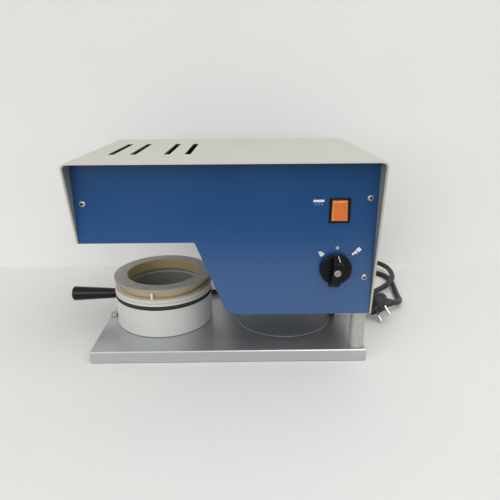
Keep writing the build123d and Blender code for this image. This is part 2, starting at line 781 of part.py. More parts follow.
def press_unit():
    """The cylinder on the press plate, its piston and spring, and the bell below the plate."""
    barrel = upright(press_x, pot_y, plate_top, barrel_top, barrel_radius)
    barrel -= upright(press_x, pot_y, plate_top - 1, barrel_top + 1, piston_radius + running_gap)
    cap = upright(press_x, pot_y, barrel_top, cap_top, barrel_radius)
    cap = chamfer(cap.edges().group_by(Axis.Z)[-1], 1.5)
    cap -= upright(press_x, pot_y, barrel_top - 1, cap_top + 1, 4.0)
    bolts = []
    for index in range(cap_bolt_count):
        x, y = cap_bolt_place(index)
        bore = upright(x, y, plate_top - 1, cap_top + 1, cap_bolt_radius + 0.2)
        barrel -= bore
        cap -= bore
        head = upright(x, y, cap_top, cap_top + 6, 5.0) - upright(x, y, cap_top + 3, cap_top + 7, 2.5)
        bolts.append(head + upright(x, y, plate_bottom + 2, cap_top, cap_bolt_radius))
    groove = piston_radius - 3.0
    middle = (piston_top + piston_bottom) / 2
    piston = turned(press_x, pot_y, [
        (0, piston_bottom),
        (piston_radius, piston_bottom),
        (piston_radius, middle - 2),
        (groove, middle - 2),
        (groove, middle + 2),
        (piston_radius, middle + 2),
        (piston_radius, piston_top),
        (0, piston_top),
    ])
    seal = turned(press_x, pot_y, [
        (groove, middle - 2),
        (piston_radius, middle - 2),
        (piston_radius, middle + 2),
        (groove, middle + 2),
    ])
    rod = upright(press_x, pot_y, bell_top, piston_bottom, rod_radius)
    bell = upright(press_x, pot_y, bell_bottom, bell_top, bell_radius)
    bell = chamfer(bell.edges().group_by(Axis.Z)[-1], 2)
    recess_radius = bell_radius - bell_wall
    bell -= upright(press_x, pot_y, bell_bottom - 1, bell_bottom + bell_recess_depth, recess_radius)
    seal_top = bell_bottom + bell_seal_groove
    seal_bottom = bell_bottom - bell_seal_proud
    ring = upright(press_x, pot_y, seal_bottom, seal_top, bell_radius - bell_seal_inset)
    ring -= upright(press_x, pot_y, seal_bottom - 1, seal_top + 1, recess_radius + bell_seal_inset)
    bell -= ring
    save("cylinder_barrel", barrel)
    save("cylinder_cap", cap)
    save("cylinder_bolts", *bolts)
    save("piston", piston)
    save("piston_seal", seal)
    save("piston_rod", rod)
    save("pressure_bell", bell)
    save("bell_seal", ring)
    low = plate_top + spring_wire / 2 + slide_gap
    high = piston_bottom - spring_wire / 2 - slide_gap
    climb = (high - low) / spring_half_turns
    turns = [(spring_radius, low + climb * index) for index in range(spring_half_turns + 1)]
    path = wound_path((press_x, pot_y), turns, 0, 0)
    print("spring gap to itself", round(least_self_gap(path, spring_wire / 2), 2))
    save("return_spring", hose(path, spring_wire / 2))


def switch():
    """The rocker switch: its housing in the panel, the rocker and the terminal blades."""
    half_width = switch_width / 2
    half_height = switch_height / 2
    rim = slab(
        (switch_x - half_width, switch_x + half_width),
        (-switch_rim, 0),
        (switch_z - half_height, switch_z + half_height),
    )
    rim = chamfer(rim.edges().group_by(Axis.Y)[0], 0.7)
    body = slab(
        (switch_x - switch_body_width / 2, switch_x + switch_body_width / 2),
        (0, switch_depth),
        (switch_z - switch_body_height / 2, switch_z + switch_body_height / 2),
    )
    reach = math.hypot(key_height / 2, key_pivot_y + key_proud)
    hollow_radius = reach + key_gap
    hollow_width = key_width / 2 + key_gap
    hollow = cross(key_pivot_y, switch_z, switch_x - hollow_width, switch_x + hollow_width, hollow_radius)
    mouth = slab(
        (switch_x - hollow_width, switch_x + hollow_width),
        (-switch_rim - 1, key_pivot_y),
        (switch_z - hollow_radius, switch_z + hollow_radius),
    )
    housing_solid = rim + body - hollow - mouth
    back = key_pivot_y + 8.0
    front_end = -key_proud
    front_middle = -key_proud + key_dip
    profile = [
        (front_end, -key_height / 2),
        (front_middle, 0),
        (front_end, key_height / 2),
        (back, key_height / 2),
        (back, -key_height / 2),
    ]
    face = make_face(Polyline(*[(-key_width / 2, y, z) for y, z in profile], close=True))
    key = extrude(face, amount=key_width, dir=(1, 0, 0))
    key = key & (Pos(0, key_pivot_y, 0) * Rot(0, 90, 0) * Cylinder(reach, key_width))
    key = Pos(switch_x, key_pivot_y, switch_z) * Rot(-key_tilt, 0, 0) * Pos(0, -key_pivot_y, 0) * key
    width, depth, thickness = blade_size
    blades = []
    for offset in (-9, 0, 9):
        blades.append(slab(
            (switch_x - width / 2, switch_x + width / 2),
            (switch_depth, switch_depth + depth),
            (switch_z + offset - thickness / 2, switch_z + offset + thickness / 2),
        ))
    save("switch_housing", housing_solid)
    save("switch_rocker", key)
    save("switch_blades", *blades)


def selector():
    """The selector valve behind the panel, and the knob, shaft and screw that turn."""
    valve_low = plate_top + slide_gap
    body = slab(
        (knob_x - valve_width / 2, knob_x + valve_width / 2),
        (valve_front, valve_rear),
        (valve_low, valve_low + valve_height),
    )
    body = fillet(body.edges().filter_by(Axis.Y), 2)
    body += lying(knob_x, knob_z, 0, valve_front, bushing_radius)
    bore_end = valve_front + 10
    body -= lying(knob_x, knob_z, -1, bore_end, shaft_radius + running_gap)
    knob_back = -knob_gap
    skirt_front = knob_back - knob_skirt
    knob_front = knob_back - knob_depth
    disc = lying(knob_x, knob_z, skirt_front, knob_back, knob_radius)
    disc = fillet(disc.edges().group_by(Axis.Y)[0], 1.6)
    half_bar = knob_bar_width / 2
    bar = slab(
        (knob_x - half_bar, knob_x + half_bar),
        (knob_front, knob_back - 0.5),
        (knob_z - knob_bar_bottom, knob_z + knob_bar_top),
    )
    ends = ((1, knob_bar_top, knob_bar_slope_top), (-1, knob_bar_bottom, knob_bar_slope_bottom))
    for side, reach, slope in ends:
        slant = [
            (knob_front, knob_z + side * (reach - slope)),
            (skirt_front, knob_z + side * reach),
            (skirt_front, knob_z + side * (reach + slope)),
            (knob_front, knob_z + side * (reach + slope)),
        ]
        face = make_face(Polyline(*[(knob_x - half_bar - 1, y, z) for y, z in slant], close=True))
        bar -= extrude(face, amount=knob_bar_width + 2, dir=(1, 0, 0))
    bar = fillet(bar.faces().sort_by(Axis.Y)[0].edges(), 1.2)
    knob = disc + bar
    knob -= lying(knob_x, knob_z, knob_front - 1, knob_front + 2, knob_screw_radius + 0.4)
    shaft_end = knob_front + 6
    knob -= lying(knob_x, knob_z, shaft_end, 0, shaft_radius + thread_clearance)
    knob -= lying(knob_x, knob_z, knob_front, shaft_end, 1.5 + thread_clearance)
    knob -= lying(knob_x, knob_z, knob_back - 2, 0, 10.8)
    screw = lying(knob_x, knob_z, knob_front + 0.3, knob_front + 2, knob_screw_radius)
    screw += lying(knob_x, knob_z, knob_front + 1, shaft_end, 1.5)
    screw -= Pos(knob_x, knob_front + 0.3, knob_z) * Rot(0, 35, 0) * Box(8, 1.2, 0.9)
    turn = Pos(knob_x, 0, knob_z) * Rot(0, knob_turned, 0) * Pos(-knob_x, 0, -knob_z)
    save("selector_valve", body)
    save("selector_shaft", lying(knob_x, knob_z, shaft_end, bore_end - 0.5, shaft_radius))
    save("selector_knob", turn * knob)
    save("knob_screw", turn * screw)


def valve_nut():
    """The thin nut that clamps the selector valve's bushing to the front panel."""
    face = Plane(origin=(knob_x, 0, knob_z), z_dir=(0, -1, 0)) * RegularPolygon(nut_radius, 6)
    nut = extrude(face, amount=valve_nut_thickness)
    return nut - lying(knob_x, knob_z, -valve_nut_thickness - 1, 1, shaft_radius + nut_clearance)


def pneumatics():
    """The elbow on the cylinder, the two inner hoses, the silencer and the air inlet."""
    hose_z = cap_top + elbow_height / 2
    elbow_front = pot_y - elbow_reach
    elbow = upright(press_x, pot_y, cap_top, cap_top + elbow_height, elbow_height / 2)
    elbow += lying(press_x, hose_z, elbow_front, pot_y, hose_radius + elbow_wall)
    supply_z = plate_top + slide_gap + valve_height / 2
    valve_top = plate_top + slide_gap + valve_height
    valve_y = (valve_front + valve_rear) / 2
    bend = 4 * hose_radius
    press_route = [
        (press_x, elbow_front, hose_z),
        (press_x, elbow_front - 2.5 * bend, hose_z),
        (press_x + 2 * bend, valve_y + hose_radius, hose_z),
        (knob_x - bend, valve_y, hose_z),
        (knob_x, valve_y, hose_z - bend),
        (knob_x, valve_y, valve_top),
    ]
    supply_x = knob_x + valve_width / 4
    inlet_inner = rear_panel_front - inlet_depth
    supply_route = [
        (supply_x, valve_rear, supply_z),
        (supply_x, valve_rear + 3 * bend, supply_z),
        (inlet_x, valve_rear + 6 * bend, inlet_z),
        (inlet_x, inlet_inner, inlet_z),
    ]
    press_hose = hose(round_path(press_route, [bend, 1.5 * bend, 0.6 * bend, 0.6 * bend]), hose_radius)
    supply_hose = hose(round_path(supply_route, [2.5 * bend, 2.5 * bend]), hose_radius)
    save("air_hoses", press_hose, supply_hose)
    valve_left = knob_x - valve_width / 2
    silencer = cross(valve_y, supply_z, valve_left - silencer_length, valve_left, silencer_radius)
    save("air_fittings", elbow, chamfer(silencer.edges().group_by(Axis.X)[0], 1.5))
    back = rear_panel_back
    inlet = lying(inlet_x, inlet_z, inlet_inner, back + inlet_length, inlet_radius)
    inlet = chamfer(inlet.edges().group_by(Axis.Y)[-1], 1.0)
    inlet += lying(inlet_x, inlet_z, back, back + inlet_collar, nut_radius)
    inlet -= lying(inlet_x, inlet_z, inlet_inner - 1, back + inlet_length + 1, inlet_bore)
    face = Plane(origin=(inlet_x, rear_panel_front, inlet_z), z_dir=(0, -1, 0)) * RegularPolygon(nut_radius, 6)
    nut = extrude(face, amount=inlet_nut_thickness)
    nut -= lying(inlet_x, inlet_z, inlet_inner, back, inlet_radius + thread_clearance)
    save("air_inlet", inlet)
    save("panel_nuts", valve_nut(), nut)


def electrics():
    """The fuse holder, the terminal strip and the cord's strain relief."""
    back = rear_panel_back
    fuse = lying(fuse_x, fuse_z, rear_panel_front - 24, back, fuse_radius)
    fuse += lying(fuse_x, fuse_z, back, back + 2, 9.0)
    fuse_cap = lying(fuse_x, fuse_z, back + 2, back + 9, 6.5)
    fuse_cap = chamfer(fuse_cap.edges().group_by(Axis.Y)[-1], 1)
    fuse_cap -= slab((fuse_x - 4, fuse_x + 4), (back + 8, back + 10), (fuse_z - 0.6, fuse_z + 0.6))
    save("fuse_holder", fuse, fuse_cap)
    length, width, height = strip_size
    strip_y = rear_panel_front - 10
    left = post_left_x + post_radius + strip_gap
    strip = slab((left, left + length), (strip_y - width, strip_y), (plate_top, plate_top + height))
    for index in range(strip_ways):
        x = left + length / strip_ways * (index + 0.5)
        strip -= upright(x, strip_y - width / 2, plate_top + height - 4, plate_top + height + 1, 2.6)
    save("terminal_blocks", heater_block(), strip)
    profile = [
        (rear_panel_front - 8, 4.0),
        (rear_panel_front - 8, 7.0),
        (back, 7.0),
        (back, 10.0),
        (back + 5, 10.0),
        (back + 6, 8.0),
        (back + gland_length, cord_radius + 0.8),
        (back + gland_length, 0),
        (rear_panel_front - 4, 0),
        (rear_panel_front - 4, 4.0),
    ]
    face = make_face(Polyline(*[(r, y, 0) for y, r in profile], close=True))
    save("cord_gland", Pos(gland_x, 0, gland_z) * revolve(face, Axis.Y))


def plug_place():
    """The plug's own frame: X across its pins, Y towards the cord and Z along the pins."""
    pins = Vector(*plug_pin_direction).normalized()
    rough = Vector(*plug_exit_direction)
    towards_cord = (rough - pins * rough.dot(pins)).normalized()
    across = towards_cord.cross(pins)
    return Plane(origin=plug_face, x_dir=(across.X, across.Y, across.Z), z_dir=(pins.X, pins.Y, pins.Z))


def cord():
    """The mains cord: the drop from its gland, the coil, the loose tail and the plug."""
    gland_tip = rear_panel_back + gland_length
    outer = coil_inner + coil_pitch / 2 * coil_half_turns
    turns = [(outer - coil_pitch / 2 * index, coil_upper) for index in range(coil_half_turns + 1)]
    turns.append((coil_inner - coil_pitch / 4, coil_floor))
    for index in range(coil_half_turns):
        turns.append((coil_inner + coil_pitch / 2 * (index + 0.95), coil_floor))
    straight = 2 * cord_radius
    path = wound_path((coil_x, coil_y), turns, straight, straight)
    print("coil gap to itself", round(least_self_gap(path, cord_radius), 2))
    print("coil length", round(path.length, 1))
    coil = hose(path, cord_radius)
    report_volume("coil", coil, path)
    save("cord_coil", coil)
    start = path @ 0
    finish = path @ 1
    drop_points = [
        (gland_x, gland_tip, gland_z),
        (gland_x, gland_tip + 30, gland_z),
        (gland_x, gland_tip + 62, gland_z - 20),
        (gland_x, gland_tip + 80, gland_z - 56),
        (gland_x, gland_tip + 86, gland_z - 94),
        (gland_x, gland_tip + 70, gland_z - 122),
        (gland_x, start.Y + 18, start.Z),
        (start.X, start.Y, start.Z),
    ]
    place = plug_place()
    tip = place.origin + place.y_dir * plug_exit_length - place.z_dir * plug_exit_depth
    tail_points = [
        (finish.X, finish.Y, finish.Z),
        (finish.X, finish.Y + 24, coil_floor),
        (finish.X + 16, finish.Y + 48, coil_floor),
        (finish.X + 52, finish.Y + 60, coil_floor),
        (finish.X + 100, finish.Y + 61, coil_floor),
        (finish.X + 150, finish.Y + 60, 5.5),
        (421, 357, 8.0),
        (455, 351, 12.5),
        (477, 331, 14.2),
        (486, 304, 14.2),
        (485, 276, 14.2),
        (478, 250, 14.2),
        (463, 227, 13.0),
        (442, 209, 10.5),
        (416, 194, 7.0),
        (396, 183, coil_floor),
        (381, 195, coil_floor),
        (379, 221, coil_floor),
        (386, 251, coil_floor),
        (402, 280, coil_floor),
        (425, 301, coil_floor),
        (452, 308, coil_floor),
        (470, 299, coil_floor),
        (479, 277, coil_floor),
        (479, 252, coil_floor),
        (476, 228, coil_floor),
        (472, 203, coil_floor),
        (470, 182, 6.2),
        (465.5, 164, 9.4),
        tuple(tip + place.y_dir * 12),
        tuple(tip),
    ]
    for name, points in (("cord_drop", drop_points), ("cord_tail", tail_points)):
        radii = soft_radii(points)
        print(name, "radii", [round(radius) for radius in radii])
        path = round_path(points, radii)
        tube = hose(path, cord_radius)
        report_volume(name, tube, path)
        save(name, tube)
    save("plug_body", place * plug_body())
    pins = []
    for side in (-1, 1):
        pin = Pos(side * pin_spacing / 2, 0, pin_length / 2) * Cylinder(pin_radius, pin_length)
        pins.append(place * fillet(pin.edges().group_by(Axis.Z)[-1], 1.6))
    save("plug_pins", *pins)


def report_volume(name, tube, path):
    """Prints a tube's length and its volume against its section times its length."""
    expected = math.pi * cord_radius ** 2 * path.length
    print(name, "length", round(path.length, 1), "volume ratio", round(tube.volume / expected, 4))


def plug_body():
    """An angled plug: a round face with a side flat, and a tapered sleeve for the cord."""
    body = Pos(0, 0, -plug_depth / 2) * Cylinder(plug_radius, plug_depth)
    body = fillet(body.edges().group_by(Axis.Z)[0], 6)
    body = chamfer(body.edges().group_by(Axis.Z)[-1], 0.8)
    for side in (-1, 1):
        body -= Pos(0, side * (plug_radius + 0.6), -4.5) * Box(7, 4, 12)
    sleeve = [
        (0, 6.0),
        (8.5, 6.0),
        (8.4, plug_radius + 4),
        (cord_radius + 1.2, plug_exit_length),
        (0, plug_exit_length),
    ]
    face = make_face(Polyline(*[(r, y, 0) for r, y in sleeve], close=True))
    return body + Pos(0, 0, -plug_exit_depth) * revolve(face, Axis.Y)


def save(name, *solids):
    """Writes one named piece, or one group of like pieces, in the object's own frame."""
    placed = [Pos(-origin_x, -origin_y, 0) * solid for solid in solids]
    shape = placed[0] if len(placed) == 1 else Compound(children=placed)
    export_step(shape, f"parts/{name}.step")


os.makedirs("parts", exist_ok=True)
base()
frame()
housing()
heater()
pot()
stops()
press_unit()
switch()
selector()
pneumatics()
electrics()
cord()
print("origin", round(origin_x, 3), round(origin_y, 3))
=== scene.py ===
"""Dresses the dental thermoforming machine: its finishes, its modelled pieces, its cord and its light."""

import logging
import math
from collections.abc import Callable, Iterable, Sequence
from dataclasses import dataclass, field
from enum import Enum

import bmesh
import bpy
from mathutils import Matrix, Vector


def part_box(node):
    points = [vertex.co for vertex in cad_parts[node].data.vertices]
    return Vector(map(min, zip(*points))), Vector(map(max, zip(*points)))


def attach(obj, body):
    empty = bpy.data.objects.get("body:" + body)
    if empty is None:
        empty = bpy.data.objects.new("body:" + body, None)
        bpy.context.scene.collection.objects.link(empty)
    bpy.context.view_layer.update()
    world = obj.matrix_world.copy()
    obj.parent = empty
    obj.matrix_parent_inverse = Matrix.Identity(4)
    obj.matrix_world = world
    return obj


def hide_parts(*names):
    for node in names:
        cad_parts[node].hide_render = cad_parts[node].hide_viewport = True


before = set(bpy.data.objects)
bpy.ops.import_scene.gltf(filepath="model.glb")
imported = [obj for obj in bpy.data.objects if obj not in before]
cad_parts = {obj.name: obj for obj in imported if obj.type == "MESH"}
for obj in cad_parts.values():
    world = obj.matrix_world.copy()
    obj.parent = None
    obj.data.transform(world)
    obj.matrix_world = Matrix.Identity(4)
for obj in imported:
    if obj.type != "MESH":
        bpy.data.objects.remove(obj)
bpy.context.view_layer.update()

# The pieces are drawn in millimetres, from the cover's left face, the front panel's face and the table.
ZERO = Vector((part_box("cover_shell")[0].x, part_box("front_panel")[0].y, 0.0))
MILLIMETRE = 0.001
TO_FRAME = Matrix.Translation(ZERO) @ Matrix.Scale(MILLIMETRE, 4)
UP = Vector((0.0, 0.0, 1.0))
ALONG_X = Vector((1.0, 0.0, 0.0))
ALONG_Y = Vector((0.0, 1.0, 0.0))

# Faces within the flat angle are joined and edges over the sharp angle are eased, both in degrees.
FLAT_ANGLE = 0.6
SHARP_ANGLE = 34.0

# The number of facets round each large turned piece.
ROUND_STEPS = 128

# How the finishes' smears, specks and turned rings are drawn.
SMEARS_PER_PATCH = 2.7
SMEAR_RANGE = (0.3, 0.7)
SPECK_LEVEL = 0.72
SPECK_SPREAD = 0.2
SPECK_FADE_IN = 0.08
SPECK_FADE_OUT = 0.06
WAVE_RING_SCALE = 0.314

log = logging.getLogger("thermoforming_machine")


def linear(colour: Sequence[float], level: float = 1.0) -> tuple[float, float, float, float]:
    """Turns a colour as seen on a screen into a shader's linear colour.

    Args:
        colour: red, green and blue from 0 to 255.
        level: how many times brighter the result is.

    Returns:
        Linear red, green, blue and full alpha.
    """
    parts = []
    for part in colour:
        share = part / 255
        value = share / 12.92 if share <= 0.04045 else ((share + 0.055) / 1.055) ** 2.4
        parts.append(min(value * level, 1.0))
    return (*parts, 1.0)


def add_node(
    tree: bpy.types.NodeTree, kind: str, inputs: dict[str | int, object], **settings: object
) -> bpy.types.Node:
    """Adds a shader node and fills its sockets.

    Args:
        tree: the material's node tree.
        kind: the node's type name.
        inputs: a value, or a socket to link from, for each named input.
        settings: the node's own options.

    Returns:
        The new node.
    """
    node = tree.nodes.new(kind)
    for name, value in settings.items():
        setattr(node, name, value)
    for name, value in inputs.items():
        socket = node.inputs[name]
        if isinstance(value, bpy.types.NodeSocket):
            tree.links.new(value, socket)
        else:
            socket.default_value = value
    return node


def map_range(
    tree: bpy.types.NodeTree,
    value: bpy.types.NodeSocket,
    source: tuple[float, float],
    target: tuple[float, float],
) -> bpy.types.NodeSocket:
    """Stretches one range of values onto another, and holds it at both ends.

    Args:
        tree: the material's or the world's node tree.
        value: the value that comes in.
        source: the range to stretch.
        target: the range that goes out.

    Returns:
        The stretched value.
    """
    return add_node(tree, "ShaderNodeMapRange", {
        "Value": value, "From Min": source[0], "From Max": source[1],
        "To Min": target[0], "To Max": target[1],
    }).outputs[0]


class Grain(Enum):
    """The fine relief of a surface."""

    SAND = "sand"
    BRUSHED = "brushed"
    TURNED = "turned"
    CRYSTAL = "crystal"


@dataclass(frozen=True)
class Finish:
    """One surface finish. Sizes are in metres.

    Colour drifts in broad patches, gloss drifts in others, specks darken it and a fine grain lifts it.
    """

    name: str
    colour: tuple[float, float, float]
    roughness: float = 0.5
    metallic: float = 0.0
    grain: Grain = Grain.SAND
    grain_size: float = 0.0008
    grain_depth: float = 0.00003
    grain_strength: float = 0.35
    patch_size: float = 0.06
    drift: float = 0.06
    gloss_drift: float = 0.08
    specks: float = 0.0
    speck_size: float = 0.004
    speck_colour: tuple[float, float, float] = (60, 58, 54)
    coat: float = 0.0
    reflectivity: float = 1.5
    scatter: float = 0.0
    along: tuple[float, float, float] = (1.0, 1.0, 1.0)
    centre: tuple[float, float, float] = (0.0, 0.0, 0.0)

    def material(self) -> bpy.types.Material:
        """Builds the material once, and then hands out the same one.

        Returns:
            The finish as a Blender material.
        """
        known = bpy.data.materials.get(self.name)
        if known:
            return known
        material = bpy.data.materials.new(self.name)
        material.use_nodes = True
        tree = material.node_tree
        tree.nodes.clear()
        place = add_node(tree, "ShaderNodeTexCoord", {}).outputs["Object"]
        shift = tuple(-value for value in self.centre)
        mapped = add_node(tree, "ShaderNodeMapping", {"Vector": place, "Location": shift}).outputs[0]
        patches = self.noise(tree, mapped, 1 / self.patch_size, 4.0)
        smears = self.noise(tree, mapped, SMEARS_PER_PATCH / self.patch_size, 6.0)
        darker = linear(self.colour, 1 - self.drift)
        lighter = linear(self.colour, 1 + self.drift)
        colour = self.mix(tree, patches, darker, lighter)
        if self.specks:
            colour = self.add_specks(tree, mapped, colour)
        smooth = max(self.roughness - self.gloss_drift, 0.02)
        rough = min(self.roughness + self.gloss_drift, 1.0)
        gloss = map_range(tree, smears, SMEAR_RANGE, (smooth, rough))
        bump = add_node(tree, "ShaderNodeBump", {
            "Height": self.relief(tree, mapped),
            "Strength": self.grain_strength,
            "Distance": self.grain_depth,
        }).outputs[0]
        shader = add_node(tree, "ShaderNodeBsdfPrincipled", {
            "Base Color": colour, "Roughness": gloss, "Normal": bump, "Metallic": self.metallic,
            "IOR": self.reflectivity, "Coat Weight": self.coat, "Coat Roughness": 0.12,
            "Subsurface Weight": self.scatter, "Subsurface Scale": 0.002,
        }).outputs[0]
        add_node(tree, "ShaderNodeOutputMaterial", {"Surface": shader})
        return material

    @staticmethod
    def noise(
        tree: bpy.types.NodeTree, place: bpy.types.NodeSocket, scale: float, detail: float
    ) -> bpy.types.NodeSocket:
        """Adds a cloudy pattern.

        Args:
            tree: the material's node tree.
            place: the coordinates that the pattern follows.
            scale: how many clouds there are to a metre.
            detail: how finely the clouds break up.

        Returns:
            The pattern's strength.
        """
        inputs = {"Vector": place, "Scale": scale, "Detail": detail}
        return add_node(tree, "ShaderNodeTexNoise", inputs).outputs[0]

    @staticmethod
    def mix(
        tree: bpy.types.NodeTree, share: bpy.types.NodeSocket, first: object, second: object
    ) -> bpy.types.NodeSocket:
        """Blends two colours.

        Args:
            tree: the material's node tree.
            share: how much of the second colour shows.
            first: a colour or a socket.
            second: a colour or a socket.

        Returns:
            The blended colour.
        """
        node = add_node(tree, "ShaderNodeMix", {0: share, 6: first, 7: second}, data_type="RGBA")
        return node.outputs[2]

    def add_specks(
        self, tree: bpy.types.NodeTree, place: bpy.types.NodeSocket, colour: bpy.types.NodeSocket
    ) -> bpy.types.NodeSocket:
        """Scatters small worn or dirty spots.

        Args:
            tree: the material's node tree.
            place: the coordinates that the spots follow.
            colour: the colour between the spots.

        Returns:
            The colour with its spots.
        """
        cloud = self.noise(tree, place, 1 / self.speck_size, 8.0)
        edge = SPECK_LEVEL - SPECK_SPREAD * self.specks
        fade = (edge - SPECK_FADE_IN, edge + SPECK_FADE_OUT)
        share = map_range(tree, cloud, fade, (0.0, min(self.specks, 1.0)))
        return self.mix(tree, share, colour, linear(self.speck_colour))

    def relief(self, tree: bpy.types.NodeTree, place: bpy.types.NodeSocket) -> bpy.types.NodeSocket:
        """Makes the height of the fine grain.

        Args:
            tree: the material's node tree.
            place: the coordinates that the grain follows.

        Returns:
            The grain's height.
        """
        scale = 1 / self.grain_size
        if self.grain is Grain.TURNED:
            return add_node(tree, "ShaderNodeTexWave", {
                "Vector": place, "Scale": WAVE_RING_SCALE * scale,
                "Distortion": 1.5, "Detail": 3.0, "Detail Scale": 0.6,
            }, wave_type="RINGS", rings_direction="Z").outputs[1]
        if self.grain is Grain.CRYSTAL:
            return add_node(tree, "ShaderNodeTexVoronoi", {"Vector": place, "Scale": scale}).outputs[0]
        if self.grain is Grain.BRUSHED:
            place = add_node(tree, "ShaderNodeMapping", {"Vector": place, "Scale": self.along}).outputs[0]
        return self.noise(tree, place, scale, 5.0)


POT_AXIS = tuple(sum(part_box("pot_body"), Vector()) / 2)
PRESS_AXIS = tuple(sum(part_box("press_seat"), Vector()) / 2)

CREAM = Finish("cream_enamel", (186, 185, 175), 0.46, grain_size=0.0012, drift=0.03, specks=0.05,
               speck_size=0.02, speck_colour=(170, 166, 155), patch_size=0.11)
# A painted highlight for the cover's front rim: the same cream, lighter.
CREAM_RIM_HIGHLIGHT = Finish("enamel_rim_painted_highlight", (214, 211, 203), 0.4, drift=0.03)
# Painted shade for the cover's inside faces: the cream darkened.
CREAM_INSIDE_SHADE = Finish("enamel_inside_painted_shade", (128, 133, 132), 0.6, drift=0.08)
# Dark painted shade on the walls of the cover's vent slots.
SLOT_WALL_SHADE = Finish("slot_wall_painted_shade", (26, 24, 21), 0.7, drift=0.1)
BLUE = Finish("blue_enamel", (12, 74, 130), 0.3, grain_size=0.0007, drift=0.04, gloss_drift=0.03,
              patch_size=0.3, reflectivity=1.8)
GREY = Finish("base_grey", (177, 178, 179), 0.92, grain_size=0.0006, drift=0.035, gloss_drift=0.05,
              specks=0.06, speck_size=0.012, speck_colour=(140, 139, 136), patch_size=0.09, reflectivity=1.2)
# A painted highlight on the press seat's bevelled rim: the base grey made brighter and shinier.
GREY_RIM_HIGHLIGHT = Finish("seat_rim_painted_highlight", (186, 186, 183), 0.4, 0.2, drift=0.1, patch_size=0.01)
ZINC = Finish("mottled_zinc", (182, 180, 175), 0.42, 0.45, Grain.CRYSTAL, 0.0022, 0.0001, 0.4,
              patch_size=0.005, drift=0.16, gloss_drift=0.18, specks=0.2, speck_size=0.003,
              speck_colour=(146, 143, 136))
PLATED = Finish("plated_steel", (206, 206, 204), 0.26, 0.8, grain_size=0.0003, drift=0.05)
# Painted shade for screw sockets and the knob screw's slot.
SOCKET_SHADE = Finish("socket_painted_shade", (62, 62, 62), 0.5, 0.4, drift=0.1)
BRIGHT = Finish("bright_steel", (172, 170, 166), 0.24, 1.0, Grain.BRUSHED, 0.0006, 0.00001, 0.3,
                along=(1, 1, 12))
MACHINED = Finish("machined_aluminium", (188, 189, 190), 0.34, 0.85, Grain.TURNED, 0.0005, 0.00002, 0.4,
                  centre=PRESS_AXIS, drift=0.05)
POT_SKIN = Finish("blasted_pot", (206, 208, 203), 0.5, 0.1, grain_size=0.0005, grain_depth=0.00004,
                  drift=0.04, specks=0.08, speck_size=0.01, speck_colour=(172, 171, 165))
# The pot's turned inside, darker than its blasted outside as painted shade.
POT_INSIDE_SHADE = Finish("pot_inside_painted_shade", (165, 166, 163), 0.42, 0.3, Grain.TURNED, 0.0006, 0.00003, 0.5,
                  centre=POT_AXIS, drift=0.1)
SILICONE = Finish("seat_ring", (206, 202, 190), 0.55, scatter=0.1, drift=0.03, specks=0.08, speck_size=0.01,
                  speck_colour=(184, 176, 158))
GOLD = Finish("gold_anodised", (212, 190, 140), 0.38, 0.3, Grain.TURNED, 0.0007, 0.00003, 0.4,
              centre=POT_AXIS, drift=0.08, specks=0.12, speck_size=0.006, speck_colour=(140, 122, 82))
WORN = Finish("worn_ring_top", (166, 163, 156), 0.46, 0.35, Grain.TURNED, 0.0006, 0.00003, 0.5,
              centre=POT_AXIS, patch_size=0.02, drift=0.08, gloss_drift=0.14, specks=0.28, speck_size=0.005,
              speck_colour=(112, 108, 100))
WHITE_PEG = Finish("white_peg", (236, 232, 222), 0.4, scatter=0.1)
RUBBER = Finish("black_rubber", (13, 13, 14), 0.4, grain_size=0.0006, specks=0.05,
                speck_colour=(34, 33, 32), reflectivity=1.42)
GLOSS_BLACK = Finish("glossy_black", (4, 4, 5), 0.12, grain_size=0.002, grain_depth=0.00001,
                     gloss_drift=0.03, reflectivity=1.38)
SATIN_BLACK = Finish("satin_black", (7, 7, 8), 0.36, grain_size=0.0005, gloss_drift=0.06, reflectivity=1.35)
MOULDED_BLACK = Finish("moulded_black", (9, 9, 10), 0.42, grain_size=0.0004, reflectivity=1.4)
ORANGE = Finish("orange_lens", (222, 118, 44), 0.3, coat=0.2, scatter=0.2, grain_size=0.0016,
                grain=Grain.BRUSHED, along=(1, 1, 0.02), grain_depth=0.0001, drift=0.05)
# A painted highlight for the key's sloping frame: the lens orange made lighter.
ORANGE_EDGE_HIGHLIGHT = Finish("orange_lens_edge_painted_highlight", (252, 160, 92), 0.25, coat=0.3, scatter=0.2, drift=0.04)
WHITE_PRINT = Finish("white_print", (236, 238, 240), 0.5, grain_size=0.0004, drift=0.03)
CERAMIC = Finish("ceramic", (216, 209, 192), 0.3, coat=0.4, drift=0.04)
HOT_STEEL = Finish("darkened_steel", (92, 84, 78), 0.5, 0.7, grain_size=0.0006, drift=0.15, specks=0.3)
REFLECTOR = Finish("reflector", (200, 199, 195), 0.24, 0.95, Grain.TURNED, 0.001, 0.00003, 0.4,
                   centre=POT_AXIS)
HOSE_BLUE = Finish("hose_blue", (34, 66, 140), 0.28, grain_size=0.001, coat=0.3)
BRASS = Finish("brass", (186, 152, 84), 0.3, 0.95, grain_size=0.0004, drift=0.08)
CORD_SKIN = Finish("cord_skin", (34, 34, 36), 0.46, grain_size=0.0008, drift=0.1, gloss_drift=0.06,
                   patch_size=0.03)
PLUG_SKIN = Finish("plug_skin", (24, 24, 26), 0.5, grain_size=0.0004, drift=0.08)


def drawn_box(node: str) -> tuple[Vector, Vector]:
    """Gives a node's lowest and highest corners in the drawing's millimetres.

    Args:
        node: the node's name.

    Returns:
        The lowest and the highest corner.
    """
    low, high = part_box(node)
    return (low - ZERO) / MILLIMETRE, (high - ZERO) / MILLIMETRE


def middle(node: str) -> Vector:
    """Gives the middle of a node's box, in the drawing's millimetres."""
    low, high = drawn_box(node)
    return (low + high) / 2


